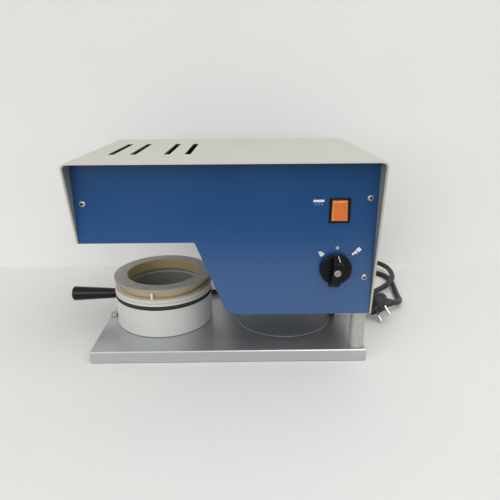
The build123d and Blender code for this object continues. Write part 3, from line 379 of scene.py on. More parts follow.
def standing(low: Vector, high: Vector) -> tuple[Vector, float, float]:
    """Sizes an upright round solid from its box.

    Args:
        low: the box's lowest corner.
        high: its highest corner.

    Returns:
        The middle of its foot, its radius and its height.
    """
    centre = (low + high) / 2
    return Vector((centre.x, centre.y, low.z)), (high.x - low.x) / 2, high.z - low.z


def merged_copy(node: str) -> bmesh.types.BMesh:
    """Copies a node's mesh with its loose triangles joined, in the drawing's millimetres.

    Args:
        node: the node's name.

    Returns:
        The joined copy.
    """
    bm = bmesh.new()
    bm.from_mesh(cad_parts[node].data)
    bmesh.ops.transform(bm, matrix=TO_FRAME.inverted(), verts=bm.verts)
    bmesh.ops.remove_doubles(bm, verts=bm.verts, dist=0.002)
    return bm


def solids_of(node: str) -> list[tuple[Vector, Vector]]:
    """Finds the box of each separate solid in a node, such as each screw of a group.

    Args:
        node: the node's name.

    Returns:
        The lowest and highest corner of each solid, in the drawing's millimetres.
    """
    bm = merged_copy(node)
    waiting = set(bm.verts)
    boxes = []
    while waiting:
        reached = [waiting.pop()]
        for vert in reached:
            for edge in vert.link_edges:
                other = edge.other_vert(vert)
                if other in waiting:
                    waiting.remove(other)
                    reached.append(other)
        places = [vert.co for vert in reached]
        low = Vector([min(place[axis] for place in places) for axis in range(3)])
        high = Vector([max(place[axis] for place in places) for axis in range(3)])
        boxes.append((low, high))
    bm.free()
    return sorted(boxes, key=lambda pair: tuple(pair[0]))


def rounded(corners: Sequence[tuple[float, float, float]], steps: int = 5) -> list[tuple[float, float]]:
    """Rounds the corners of an outline.

    Args:
        corners: x, y and radius of each corner. A radius of 0 keeps the corner.
        steps: how many pieces make an arc.

    Returns:
        The outline's points.
    """
    points = []
    for index, (x, y, radius) in enumerate(corners):
        here = Vector((x, y))
        if radius <= 0:
            points.append((x, y))
            continue
        before = (Vector(corners[index - 1][:2]) - here).normalized()
        after = (Vector(corners[(index + 1) % len(corners)][:2]) - here).normalized()
        half = before.angle(after) / 2
        centre = here + (before + after).normalized() * (radius / math.sin(half))
        start = here + before * (radius / math.tan(half)) - centre
        end = here + after * (radius / math.tan(half)) - centre
        sweep = start.angle(end)
        for step in range(steps + 1):
            share = step / steps
            arm = start * math.sin((1 - share) * sweep) + end * math.sin(share * sweep)
            points.append(tuple(centre + arm / math.sin(sweep)))
    return points


def turned(
    profile: Sequence[tuple[float, float]],
    at: Sequence[float],
    along: Vector = UP,
    closed: bool = False,
    steps: int = 96,
) -> bmesh.types.BMesh:
    """Turns a profile about an axis, as on a lathe.

    Args:
        profile: radius and height of each point.
        at: where the profile's zero height stands.
        along: the direction in which heights grow.
        closed: whether the last point joins the first, as on a ring.
        steps: how many facets go round.

    Returns:
        The turned mesh.
    """
    bm = bmesh.new()
    verts = [bm.verts.new((radius, 0, height)) for radius, height in profile]
    edges = [bm.edges.new(pair) for pair in zip(verts, verts[1:])]
    if closed:
        edges.append(bm.edges.new((verts[-1], verts[0])))
    bmesh.ops.spin(
        bm, geom=verts + edges, cent=(0, 0, 0), axis=(0, 0, 1), dvec=(0, 0, 0),
        angle=2 * math.pi, steps=steps, use_merge=True, use_duplicate=False,
    )
    bmesh.ops.remove_doubles(bm, verts=bm.verts, dist=0.0005)
    bmesh.ops.recalc_face_normals(bm, faces=bm.faces)
    turn = UP.rotation_difference(along).to_matrix().to_4x4()
    bmesh.ops.transform(bm, matrix=Matrix.Translation(Vector(at)) @ turn, verts=bm.verts)
    return bm


def ring_profile(
    radius: float, height: float, section: float, steps: int = 24
) -> list[tuple[float, float]]:
    """Gives the round section of a ring, for turned().

    Args:
        radius: from the axis to the section's centre.
        height: of the section's centre.
        section: the section's own radius.
        steps: how many points go round the section.

    Returns:
        The section's points.
    """
    angles = [2 * math.pi * step / steps for step in range(steps)]
    return [(radius + section * math.cos(angle), height + section * math.sin(angle)) for angle in angles]


def block(
    low: Sequence[float], high: Sequence[float], edge: float = 0.5, segments: int = 3
) -> bmesh.types.BMesh:
    """Makes a block with rounded edges.

    Args:
        low: its lowest corner.
        high: its highest corner.
        edge: the radius of its edges.
        segments: how many strips round each edge.

    Returns:
        The block's mesh.
    """
    bm = bmesh.new()
    size = Vector(high) - Vector(low)
    centre = (Vector(high) + Vector(low)) / 2
    bmesh.ops.create_cube(bm, size=1.0, matrix=Matrix.Translation(centre) @ Matrix.Diagonal((*size, 1.0)))
    round_edges(bm, list(bm.edges), edge, segments)
    return bm


def round_edges(
    bm: bmesh.types.BMesh, edges: Iterable[bmesh.types.BMEdge], radius: float, segments: int = 2
) -> None:
    """Rounds the given edges.

    Args:
        bm: the mesh.
        edges: the edges to round.
        radius: how wide the rounding is.
        segments: how many strips it has.
    """
    bmesh.ops.bevel(
        bm, geom=list(edges), offset=radius, offset_type="OFFSET", segments=segments, profile=0.5,
        affect="EDGES", clamp_overlap=True, material=-1,
    )


def softened(node: str, radius: float = 0.35, segments: int = 2) -> bmesh.types.BMesh:
    """Copies a node with its flat faces whole and its sharp edges eased.

    Args:
        node: the node's name.
        radius: how far each sharp edge is eased.
        segments: how many strips each eased edge has.

    Returns:
        The eased copy.
    """
    bm = merged_copy(node)
    bmesh.ops.dissolve_limit(bm, angle_limit=math.radians(FLAT_ANGLE), verts=bm.verts, edges=bm.edges)
    paired = [edge for edge in bm.edges if len(edge.link_faces) == 2]
    sharp = [edge for edge in paired if edge.calc_face_angle(0) > math.radians(SHARP_ANGLE)]
    round_edges(bm, sharp, radius, segments)
    return bm


def joined(parts: Sequence[bmesh.types.BMesh]) -> bmesh.types.BMesh:
    """Puts several meshes into one.

    Args:
        parts: the meshes, which are used up.

    Returns:
        One mesh with them all.
    """
    whole = bmesh.new()
    for part in parts:
        step = bpy.data.meshes.new("step")
        part.to_mesh(step)
        part.free()
        whole.from_mesh(step)
        bpy.data.meshes.remove(step)
    return whole


def make_piece(
    name: str,
    bm: bmesh.types.BMesh,
    finishes: Sequence[Finish],
    body: str = "root",
    stands_for: Sequence[str] = (),
    smooth: float = 32.0,
) -> bpy.types.Object:
    """Writes a mesh as a finished piece on its body.

    Args:
        name: the piece's name.
        bm: its mesh in the drawing's millimetres, which is used up.
        finishes: one for each of the mesh's material numbers.
        body: the body that carries it.
        stands_for: the nodes that it replaces.
        smooth: the largest angle between faces, in degrees, that still shades as one surface.

    Returns:
        The new object.
    """
    bmesh.ops.transform(bm, matrix=TO_FRAME, verts=bm.verts)
    mesh = bpy.data.meshes.new(name)
    bm.to_mesh(mesh)
    bm.free()
    for finish in finishes:
        mesh.materials.append(finish.material())
    mesh.shade_smooth()
    mesh.set_sharp_from_angle(angle=math.radians(smooth))
    piece = bpy.data.objects.new(name, mesh)
    bpy.context.scene.collection.objects.link(piece)
    even = piece.modifiers.new("even_shading", "WEIGHTED_NORMAL")
    even.keep_sharp = True
    even.weight = 100
    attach(piece, body)
    if stands_for:
        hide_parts(*stands_for)
    log.info("%s: %d faces on %s", name, len(mesh.polygons), body)
    return piece


def paint_faces(bm: bmesh.types.BMesh, number: int, chosen: Callable[[bmesh.types.BMFace], bool]) -> None:
    """Gives the chosen faces another of the piece's finishes.

    Args:
        bm: the mesh.
        number: the finish's place in the piece's list.
        chosen: says whether a face is one of them.
    """
    for face in bm.faces:
        if chosen(face):
            face.material_index = number


@dataclass(frozen=True)
class KeptNode:
    """A node whose shape is right: it is shown as an eased copy with its own finish."""

    node: str
    finish: Finish
    slot: str
    edge: float = 0.3
    body: str = "root"

    def build(self) -> None:
        """Makes the eased copy and puts it in the node's place."""
        eased = softened(self.node, self.edge)
        make_piece(f"{self.node}_eased", eased, [self.finish], self.body, [self.node])


@dataclass
class Base:
    """The base plate, its feet, the press seat, the stops and the guide rail."""

    plate_edge: float = 0.08
    seat_groove: float = 0.05
    seat_rings: tuple[float, ...] = (18.0, 40.0, 58.0)
    seat_chamfer: float = 0.8

    def build(self) -> None:
        """Builds every piece of the base."""
        KeptNode("base_plate", GREY, "base_grey", self.plate_edge).build()
        KeptNode("left_stop", ZINC, "zinc_steel", 0.4).build()
        KeptNode("right_stop", MACHINED, "plain_aluminium", 0.5).build()
        KeptNode("guide_rail", MACHINED, "plain_aluminium").build()
        KeptNode("position_sensor", MOULDED_BLACK, "switch_black", 0.5).build()
        for node in ("left_bumper", "right_bumper"):
            KeptNode(node, RUBBER, "black_rubber", 0.5).build()
        KeptNode("foot_pads", RUBBER, "black_rubber", 0.6).build()
        self.build_press_seat()

    def build_press_seat(self) -> None:
        """Turns the seat disc with a painted highlight on its bevelled rim, and shallow centring grooves."""
        foot, radius, top = standing(*drawn_box("press_seat"))
        rim = radius - self.seat_chamfer
        profile = [(0, 0), (radius, 0), (radius, top - self.seat_chamfer), (rim, top)]
        groove = self.seat_groove
        for ring in reversed(self.seat_rings):
            profile += [(ring + groove, top), (ring, top - groove), (ring - groove, top)]
        profile.append((0, top))
        bm = turned(profile, foot)

        def on_rim_highlight(face: bmesh.types.BMFace) -> bool:
            """Says whether a face is part of the bevelled rim, which takes the painted highlight."""
            reach = (face.calc_center_median() - foot).xy.length
            return reach > rim and face.normal.z > 0.2

        # The bevelled rim gets the painted highlight.
        paint_faces(bm, 1, on_rim_highlight)
        make_piece("press_seat_turned", bm, [GREY, GREY_RIM_HIGHLIGHT], stands_for=["press_seat"])


@dataclass
class Posts:
    """The upright posts between the base and the press plate."""

    shoulder: float = 0.5
    ring_height: float = 2.2
    ring_slope: float = 0.3
    ring_width: float = 1.2

    def build(self) -> None:
        """Turns each post with eased ends and a fine ring above the base."""
        for node in ("post_front_right", "post_rear_right", "post_rear_left"):
            foot, radius, height = standing(*drawn_box(node))
            inset = radius - self.shoulder
            ring_top = self.ring_height + self.ring_width
            profile = [
                (0, 0), (inset, 0), (radius, self.shoulder), (radius, self.ring_height),
                (inset, self.ring_height + self.ring_slope), (inset, ring_top - self.ring_slope),
                (radius, ring_top), (radius, height - self.shoulder), (inset, height), (0, height),
            ]
            bm = turned(profile, foot, steps=64)
            make_piece(f"{node}_turned", bm, [ZINC], stands_for=[node])


@dataclass
class Housing:
    """The cover, both panels and the screws that hold them."""

    cover_edge: float = 0.5
    sheet: float = 2.6
    rim_reach: float = 0.7
    vent_margin: float = 20.0
    skin: float = 1.5
    panel_edge: float = 0.3
    head_radius: float = 4.0
    head_height: float = 2.2
    shank_radius: float = 2.0
    socket_radius: float = 1.8
    socket_depth: float = 1.5

    def build(self) -> None:
        """Builds the sheet metal and its screws."""
        self.build_cover()
        KeptNode("front_panel", BLUE, "panel_blue", self.panel_edge).build()
        KeptNode("rear_panel", BLUE, "panel_blue", self.panel_edge).build()
        KeptNode("slope_skirt", PLATED, "zinc_steel", 0.2).build()
        KeptNode("press_plate", MACHINED, "plain_aluminium", 0.5).build()
        self.build_screws()

    def build_cover(self) -> None:
        """Eases the cover's edges, and paints a highlight on the front rim, shade on the inside and dark
        shade on the slot walls.
        """
        low, high = drawn_box("cover_shell")
        middle_x = (low.x + high.x) / 2
        bm = softened("cover_shell", self.cover_edge, 3)

        def number_of(face: bmesh.types.BMFace) -> int:
            """Says which finish a face takes: 0 outside, 1 inside with painted shade, 2 in a slot with dark
            painted shade, 3 on the front rim with a painted highlight.
            """
            place = face.calc_center_median()
            normal = face.normal
            if place.y < low.y + self.rim_reach:
                return 3
            margin = self.vent_margin
            over_vents = place.y > low.y + margin and low.x + margin < place.x < high.x - margin
            if place.z > high.z - self.sheet and over_vents:
                return 2 if abs(normal.z) < 0.95 and place.y < high.y - margin else int(normal.z < 0)
            if place.y > high.y - self.rim_reach or abs(normal.y) > 0.7:
                return 0
            arm = place.x - middle_x
            inwards = normal.x * arm < -0.2 * abs(arm) or normal.z < -0.2
            return int(inwards and low.x + self.skin < place.x < high.x - self.skin)

        for face in bm.faces:
            face.material_index = number_of(face)
        # The inside and slot finishes are painted shade; the rim finish is a painted highlight.
        finishes = [CREAM, CREAM_INSIDE_SHADE, SLOT_WALL_SHADE, CREAM_RIM_HIGHLIGHT]
        make_piece("cover_eased", bm, finishes, stands_for=["cover_shell"])

    def build_screws(self) -> None:
        """Turns a domed head with a socket for each housing screw, and its shank, with painted shade in the
        socket.
        """
        parts = []
        left = drawn_box("cover_shell")[0].x
        for low, high in solids_of("housing_screws"):
            size = high - low
            centre = (low + high) / 2
            sideways = size.x > size.y
            if sideways:
                outward = -ALONG_X if low.x < left else ALONG_X
            else:
                outward = -ALONG_Y if low.y < 0 else ALONG_Y
            reach = size.x if sideways else size.y
            foot = centre - outward * reach / 2
            screw = turned(self.screw_profile(reach), foot, outward, steps=40)
            self.paint_socket_shade(screw, foot, outward, reach)
            parts.append(screw)
        whole = joined(parts)
        nodes = ["housing_screws"]
        make_piece("housing_screws_turned", whole, [PLATED, SOCKET_SHADE], stands_for=nodes)

    def paint_socket_shade(self, screw: bmesh.types.BMesh, foot: Vector, outward: Vector, reach: float) -> None:
        """Gives the socket's floor and wall a dark finish, which is painted shade.

        Args:
            screw: the screw's mesh.
            foot: the shank's end.
            outward: the direction from the shank to the head.
            reach: from the shank's end to the head's top.
        """
        for face in screw.faces:
            arm = face.calc_center_median() - foot
            height = arm.dot(outward)
            across = (arm - outward * height).length
            if across < self.socket_radius + 0.05 and reach - self.head_height < height < reach - 0.1:
                face.material_index = 1

    def screw_profile(self, reach: float) -> list[tuple[float, float]]:
        """Gives a button-head screw's half section.

        Args:
            reach: from the shank's end to the head's top.

        Returns:
            Radius and height of each point.
        """
        seat = reach - self.head_height
        head = self.head_radius
        shank = self.shank_radius
        return rounded([
            (0, 0, 0), (shank - 0.4, 0, 0), (shank, 0.5, 0), (shank, seat, 0), (head, seat, 0.2),
            (head, seat + 0.7, 0.5), (head - 1.4, reach, 0.9), (self.socket_radius, reach, 0.15),
            (self.socket_radius, reach - self.socket_depth, 0), (0, reach - self.socket_depth - 0.4, 0),
        ], 4)


@dataclass
class Heater:
    """The heater in the overhang: its tray, reflector, elements and guard."""

    def build(self) -> None:
        """Builds what shows from below."""
        KeptNode("heater_tray", PLATED, "zinc_steel", 0.25).build()
        KeptNode("heater_reflector", REFLECTOR, "reflector_aluminium", 0.2).build()
        KeptNode("heating_elements", HOT_STEEL, "heater_steel", 0.1).build()
        KeptNode("heater_guard", PLATED, "zinc_steel", 0.1).build()


@dataclass
class Pot:
    """The sliding pot with its seal, its foil seat, the clamp ring, the pegs and the handle."""

    wall: float = 15.5
    floor_height: float = 9.0
    wall_edge: float = 0.8
    groove_edge: float = 0.25
    mouth_chamfer: float = 1.2
    floor_corner: float = 4.0
    ring_edge: float = 0.5
    ring_width: float = 19.1
    neck_inset: float = 9.9
    rim_height: float = 4.4
    seat_width: float = 14.0
    grip_neck: float = 7.4
    peg_dome: float = 0.6

    def build(self) -> None:
        """Builds the pot from its body up, and then the handle and the stub pin."""
        self.build_body()
        self.build_seal()
        self.build_seat()
        self.build_ring()
        self.build_pegs()
        self.build_handle()
        self.build_stub()

    def build_body(self) -> None:
        """Turns the pot's body with its seal groove, its lip and a darker inside, with painted shade in the
        bore and black painted shade deep in the groove.
        """
        low, high = drawn_box("pot_body")
        foot, radius, top = standing(low, high)
        seal_low, seal_high = drawn_box("pot_seal")
        groove = radius - (seal_high.z - seal_low.z)
        bore = radius - self.wall
        groove_low = seal_low.z - low.z - 0.1
        groove_high = seal_high.z - low.z + 0.1
        floor = self.floor_height
        profile = rounded([
            (0, 0, 0), (radius, 0, 1.0), (radius, groove_low, self.groove_edge), (groove, groove_low, 0.3),
            (groove, groove_high, 0.3), (radius, groove_high, self.groove_edge),
            (radius, top, self.wall_edge), (bore + self.mouth_chamfer, top, 0.2),
            (bore, top - self.mouth_chamfer, 0.2), (bore, floor, self.floor_corner), (0, floor, 0),
        ])
        bm = turned(profile, foot, steps=ROUND_STEPS)

        def inside(face: bmesh.types.BMFace) -> bool:
            """Says whether a face lies in the bore or on the inner floor, where painted shade goes."""
            place = face.calc_center_median()
            reach = math.hypot(place.x - foot.x, place.y - foot.y)
            return reach < bore + 0.05 and low.z + floor - 0.5 < place.z < high.z - self.mouth_chamfer

        def in_shaded_groove(face: bmesh.types.BMFace) -> bool:
            """Says whether a face lies deep in the seal's groove, which is painted black as shade."""
            place = face.calc_center_median()
            reach = math.hypot(place.x - foot.x, place.y - foot.y)
            level = place.z - low.z
            return bore + 2 < reach < radius - 0.2 and groove_low - 0.2 < level < groove_high + 0.2

        # The bore and inner floor get painted shade; the groove's depths get black painted shade.
        paint_faces(bm, 1, inside)
        # Black painted shade deep in the seal's groove.
        paint_faces(bm, 2, in_shaded_groove)
        finishes = [POT_SKIN, POT_INSIDE_SHADE, RUBBER]
        make_piece("pot_body_turned", bm, finishes, "pot", ["pot_body"])

    def build_seal(self) -> None:
        """Turns the round seal that sits in the pot's groove."""
        low, high = drawn_box("pot_seal")
        centre = middle("pot_seal")
        section = (high.z - low.z) / 2
        profile = ring_profile((high.x - low.x) / 2 - section, 0, section)
        bm = turned(profile, centre, closed=True, steps=ROUND_STEPS)
        make_piece("pot_seal_ring", bm, [RUBBER], "pot", ["pot_seal"])

    def build_seat(self) -> None:
        """Turns the pale seat ring that the sheet lies on, with painted shade on its bore."""
        foot, outer, top = standing(*drawn_box("foil_seat"))
        inner = outer - self.seat_width
        profile = rounded([
            (inner, 0, 0.3), (outer - 0.8, 0, 0.2), (outer, 0.9, 0.4), (outer, top, 0.9),
            (inner + 6, top, 0.2), (inner + 5.6, top - 0.4, 0.2), (inner, top - 0.4, 0.5),
        ])
        bm = turned(profile, foot, closed=True, steps=ROUND_STEPS)
        # The ring's bore takes the pot inside's painted shade.
        paint_faces(bm, 1, lambda face: (face.calc_center_median() - foot).xy.length < inner + 0.2)
        make_piece("foil_seat_turned", bm, [SILICONE, POT_INSIDE_SHADE], "pot", ["foil_seat"])

    def build_ring(self) -> None:
        """Turns the clamp ring: a gold neck and bore under a worn grey top."""
        foot, rim, top = standing(*drawn_box("clamp_ring"))
        neck = rim - self.neck_inset
        bore = rim - self.ring_width
        rim_bottom = top - self.rim_height
        profile = rounded([
            (bore, 0, self.ring_edge), (neck, 0, self.ring_edge), (neck, rim_bottom, 0.8),
            (rim, rim_bottom, 0.5), (rim, top, 0.7), (bore, top, 0.7),
        ])
        bm = turned(profile, foot, closed=True, steps=ROUND_STEPS)

        def worn(face: bmesh.types.BMFace) -> bool:
            """Says whether a face lies on the ring's top or on its rim."""
            place = face.calc_center_median()
            reach = (place - foot).xy.length
            return place.z > foot.z + rim_bottom - 0.1 and (reach > neck + 0.5 or face.normal.z > 0.7)

        paint_faces(bm, 1, worn)
        make_piece("clamp_ring_turned", bm, [GOLD, WORN], "clamp", ["clamp_ring"])

    def build_pegs(self) -> None:
        """Turns the white pegs that keep the clamp ring central."""
        parts = []
        for low, high in solids_of("clamp_pegs"):
            foot, radius, height = standing(low, high)
            corners = [(0, 0, 0), (radius, 0, 0.2), (radius, height, self.peg_dome), (0, height, 0)]
            parts.append(turned(rounded(corners, 4), foot, steps=32))
        make_piece("clamp_pegs_turned", joined(parts), [WHITE_PEG], "pot", ["clamp_pegs"])

    def build_handle(self) -> None:
        """Turns the glossy tapered grip, with its domed end, and the stud that carries it."""
        low, high = drawn_box("handle_grip")
        centre = middle("handle_grip")
        large = (high.y - low.y) / 2
        small = self.grip_neck
        length = high.x - low.x
        profile = rounded([
            (0, 0, 0), (small, 0, 0.8), (large, length, 3.2), (large * 0.55, length, 0.8),
            (large * 0.5, length - 0.8, 0.4), (0, length - 0.8, 0),
        ], 6)
        bm = turned(profile, (high.x, centre.y, centre.z), -ALONG_X, steps=72)
        make_piece("handle_grip_turned", bm, [GLOSS_BLACK], "pot", ["handle_grip"])
        KeptNode("handle_stud", PLATED, "screw_steel", 0.2, "pot").build()

    def build_stub(self) -> None:
        """Turns the black stub pin that the sensor meets."""
        low, high = drawn_box("stub_pin")
        centre = middle("stub_pin")
        radius = (high.y - low.y) / 2
        length = high.x - low.x
        profile = rounded([(0, 0, 0), (radius, 0, 0), (radius, length, 1.0), (0, length, 0)], 5)
        bm = turned(profile, (low.x, centre.y, centre.z), ALONG_X, steps=48)
        make_piece("stub_pin_turned", bm, [SATIN_BLACK], "pot", ["stub_pin"])


@dataclass
class PressUnit:
    """The bell, its seal and its rod, which move, and the fixed cylinder over them."""

    bell_edge: float = 2.0
    bell_wall: float = 13.0
    recess_depth: float = 9.0
    boss: float = 20.0
    seal_edge: float = 0.8

    def build(self) -> None:
        """Builds the moving bell and eases what surrounds it."""
        self.build_bell()
        KeptNode("bell_seal", RUBBER, "black_rubber", self.seal_edge, "bell").build()
        KeptNode("piston_rod", BRIGHT, "bright_steel", 0.3, "bell").build()

    def build_bell(self) -> None:
        """Turns the bell with a rounded shoulder and a lathe-cut face."""
        foot, radius, top = standing(*drawn_box("pressure_bell"))
        recess = radius - self.bell_wall
        depth = self.recess_depth
        profile = rounded([
            (0, depth, 0), (recess, depth, 2.0), (recess, 0, 0.4), (recess + 2, 0, 0), (recess + 2, 3.0, 0),
            (radius - 2, 3.0, 0), (radius - 2, 0, 0), (radius, 0, 0.4), (radius, top - 4, 0.4),
            (radius - 1.2, top - 3, 0.4), (radius - 1.2, top, self.bell_edge), (self.boss, top, 0.4),
            (self.boss - 1, top - 0.6, 0.3), (0, top - 0.6, 0),
        ])
        bm = turned(profile, foot, steps=ROUND_STEPS)
        make_piece("pressure_bell_turned", bm, [MACHINED], "bell", ["pressure_bell"])


@dataclass
class Controls:
    """The rocker switch, the selector knob and the signs printed on the panel."""

    print_depth: float = 0.08
    key_height: float = 25.4
    key_depth: float = 10.0
    key_pivot: float = 1.0
    key_setback: float = 3.0
    key_tilt: float = -7.0
    key_frame: float = 2.2
    key_rise: float = 1.8
    key_drop: float = 1.3
    index_width: float = 1.3
    index_shift: float = 2.0
    index_lean: float = 0.25
    knob_top: float = 18.5
    knob_slope: float = 7.0
    bar_reach: float = 11.5
    index_share: float = 0.7
    index_tip: float = 1.2
    slot_length: float = 5.6
    slot_width: float = 0.9
    slot_lean: float = -38.0
    washer_inner: float = 3.6
    washer_outer: float = 4.2
    knob_turned: float = 6.0
    ray_pen: float = 0.4
    ray_gap: float = 3.8
    ray_drop: float = 4.2
    ray_length: float = 3.0
    ray_slants: tuple[float, ...] = (34.0, 0.0, -34.0)
    heat_sign: tuple[float, float] = (-25.7, 12.0)
    heat_width: float = 13.2
    heat_height: float = 2.9

    # Place from the shaft, inner and outer radius, sides and lean.
    sign_rings: tuple[tuple[tuple[float, float], float, float, int, float], ...] = (
        ((1.7, 27.0), 1.1, 1.9, 32, 0.0),
        ((-20.2, 21.1), 0.0, 2.1, 3, 55.0),
        ((28.4, 24.4), 0.8, 3.6, 4, 5.0),
        ((24.4, 21.0), 0.0, 3.2, 3, 40.0),
        ((21.6, 18.7), 0.0, 2.3, 3, 100.0),
    )

    # Place from the shaft, width, height and lean.
    sign_bars: tuple[tuple[tuple[float, float], float, float, float], ...] = (
        ((-17.1, 18.2), 5.6, 2.9, -40.0),
        ((-19.0, 20.3), 4.6, 1.7, -40.0),
    )

    def build(self) -> None:
        """Builds the switch, the knob and the signs."""
        KeptNode("switch_housing", MOULDED_BLACK, "switch_black", 0.35).build()
        self.build_key()
        self.build_knob()
        self.build_signs()

    def build_key(self) -> None:
        """Makes the orange key: a flat lens with a sloping frame that carries a painted highlight, tipped at
        rest.
        """
        low, high = drawn_box("switch_rocker")
        housing_low, housing_high = drawn_box("switch_housing")
        centre = (housing_low + housing_high) / 2
        half_width = (high.x - low.x) / 2
        tilt = math.radians(self.key_tilt)
        bm = bmesh.new()
        size = Matrix.Diagonal((2 * half_width, self.key_depth, self.key_height, 1.0))
        bmesh.ops.create_cube(bm, size=1.0, matrix=size)
        front = min(bm.faces, key=lambda face: face.calc_center_median().y)
        bmesh.ops.inset_individual(bm, faces=[front], thickness=self.key_frame)
        bmesh.ops.translate(bm, vec=(0, -self.key_rise, -self.key_drop), verts=front.verts)
        round_edges(bm, list(bm.edges), 0.35, 2)
        pivot = Matrix.Translation((centre.x, self.key_pivot, centre.z))
        behind = Matrix.Translation((0, self.key_setback, 0))
        bmesh.ops.transform(bm, matrix=pivot @ Matrix.Rotation(tilt, 4, "X") @ behind, verts=bm.verts)
        facing = Matrix.Rotation(tilt, 3, "X") @ -ALONG_Y
        # The sloping frame's faces take the painted highlight.
        paint_faces(bm, 1, lambda face: face.normal.dot(facing) < 0.97)
        finishes = [ORANGE, ORANGE_EDGE_HIGHLIGHT]
        make_piece("switch_key_lens", bm, finishes, "rocker", ["switch_rocker"])

    def build_knob(self) -> None:
        """Eases the knob, and adds its white index line and its slotted screw."""
        KeptNode("selector_knob", SATIN_BLACK, "knob_black", 0.5, "knob").build()
        KeptNode("knob_screw", PLATED, "screw_steel", 0.12, "knob").build()
        knob_face = drawn_box("selector_knob")[0].y
        axis = middle("selector_shaft")
        disc = knob_face + self.bar_reach
        front = self.knob_top - self.knob_slope
        start = disc - self.bar_reach * self.index_share
        route = [
            (start, self.knob_top - self.knob_slope * self.index_share), (disc, self.knob_top),
            (disc, self.knob_top + self.index_tip),
        ]
        bm = bmesh.new()
        rows = []
        for y, rise in route:
            across = self.index_shift - self.index_lean * (rise - front)
            lifted = y - 2 * self.print_depth
            left = bm.verts.new((across - self.index_width / 2, lifted, rise))
            right = bm.verts.new((across + self.index_width / 2, lifted, rise))
            rows.append((left, right))
        for (left, right), (next_left, next_right) in zip(rows, rows[1:]):
            bm.faces.new((left, right, next_right, next_left))
        bmesh.ops.solidify(bm, geom=list(bm.faces), thickness=0.1)
        bmesh.ops.recalc_face_normals(bm, faces=bm.faces)
        self.place_on_panel(bm, (axis.x, axis.z), self.knob_turned)
        make_piece("knob_index_line", bm, [WHITE_PRINT], "knob")
        self.build_knob_screw(knob_face)

    def build_knob_screw(self, knob_face: float) -> None:
        """Adds the screw's slot, a dark sheet of painted shade, and the bright rim round it.

        Args:
            knob_face: how far forward the knob's front face is.
        """
        screw = middle("knob_screw")
        face = drawn_box("knob_screw")[0].y
        slot = self.stroke((screw.x, screw.z), self.slot_length, self.slot_width, self.slot_lean)
        bmesh.ops.translate(slot, vec=(0, face, 0), verts=slot.verts)
        # The slot is a flat dark sheet on the screw's face: painted shade, not a cut.
        make_piece("knob_screw_slot_shade", slot, [SOCKET_SHADE], "knob")
        washer = self.stroke_ring((screw.x, screw.z), self.washer_inner, self.washer_outer, 48)
        bmesh.ops.translate(washer, vec=(0, knob_face, 0), verts=washer.verts)
        make_piece("knob_washer_rim", washer, [PLATED], "knob")

    def build_signs(self) -> None:
        """Prints the zero, the two working signs and the heat sign on the panel."""
        switch = middle("switch_housing")
        shaft = middle("selector_shaft")
        parts = []
        for (x, z), inner, outer, sides, lean in self.sign_rings:
            parts.append(self.stroke_ring((shaft.x + x, shaft.z + z), inner, outer, sides, lean))
        for (x, z), width, height, lean in self.sign_bars:
            parts.append(self.stroke((shaft.x + x, shaft.z + z), width, height, lean))
        heat = (switch.x + self.heat_sign[0], switch.z + self.heat_sign[1])
        parts.append(self.stroke(heat, self.heat_width, self.heat_height, 0))
        for index, slant in enumerate(self.ray_slants):
            spread = index - (len(self.ray_slants) - 1) / 2
            at = (heat[0] + spread * self.ray_gap, heat[1] - self.ray_drop)
            parts.append(self.stroke(at, self.ray_pen, self.ray_length, slant))
        make_piece("panel_signs", joined(parts), [WHITE_PRINT])

    @staticmethod
    def place_on_panel(bm: bmesh.types.BMesh, at: tuple[float, float], lean: float) -> None:
        """Turns a mesh in the panel's plane and moves it to its place.

        Args:
            bm: the mesh, drawn round x = 0 and z = 0.
            at: where its middle goes, as x and z.
            lean: how far it is turned, in degrees.
        """
        turn = Matrix.Rotation(math.radians(lean), 4, "Y")
        bmesh.ops.transform(bm, matrix=Matrix.Translation((at[0], 0, at[1])) @ turn, verts=bm.verts)

    def stroke(
        self, at: tuple[float, float], width: float, height: float, lean: float
    ) -> bmesh.types.BMesh:
        """Makes one flat printed bar on the panel's face.

        Args:
            at: the bar's middle, as x and z.
            width: across the panel.
            height: up the panel.
            lean: how far the bar is turned, in degrees.

        Returns:
            The bar's mesh.
        """
        bm = block((-width / 2, -self.print_depth, -height / 2), (width / 2, 0, height / 2), 0.02, 1)
        self.place_on_panel(bm, at, lean)
        return bm

    def stroke_ring(
        self, at: tuple[float, float], inner: float, outer: float, sides: int = 32, lean: float = 0.0
    ) -> bmesh.types.BMesh:
        """Makes one flat printed ring, or a filled shape where the inner radius is 0.

        Args:
            at: the ring's middle, as x and z.
            inner: its inner radius.
            outer: its outer radius, to the corners.
            sides: how many sides it has.
            lean: how far it is turned, in degrees.

        Returns:
            The ring's mesh.
        """
        profile = [(inner, 0), (outer, 0), (outer, self.print_depth), (inner, self.print_depth)]
        bm = turned(profile, (0, 0, 0), -ALONG_Y, closed=inner > 0, steps=sides)
        self.place_on_panel(bm, at, lean)
        return bm


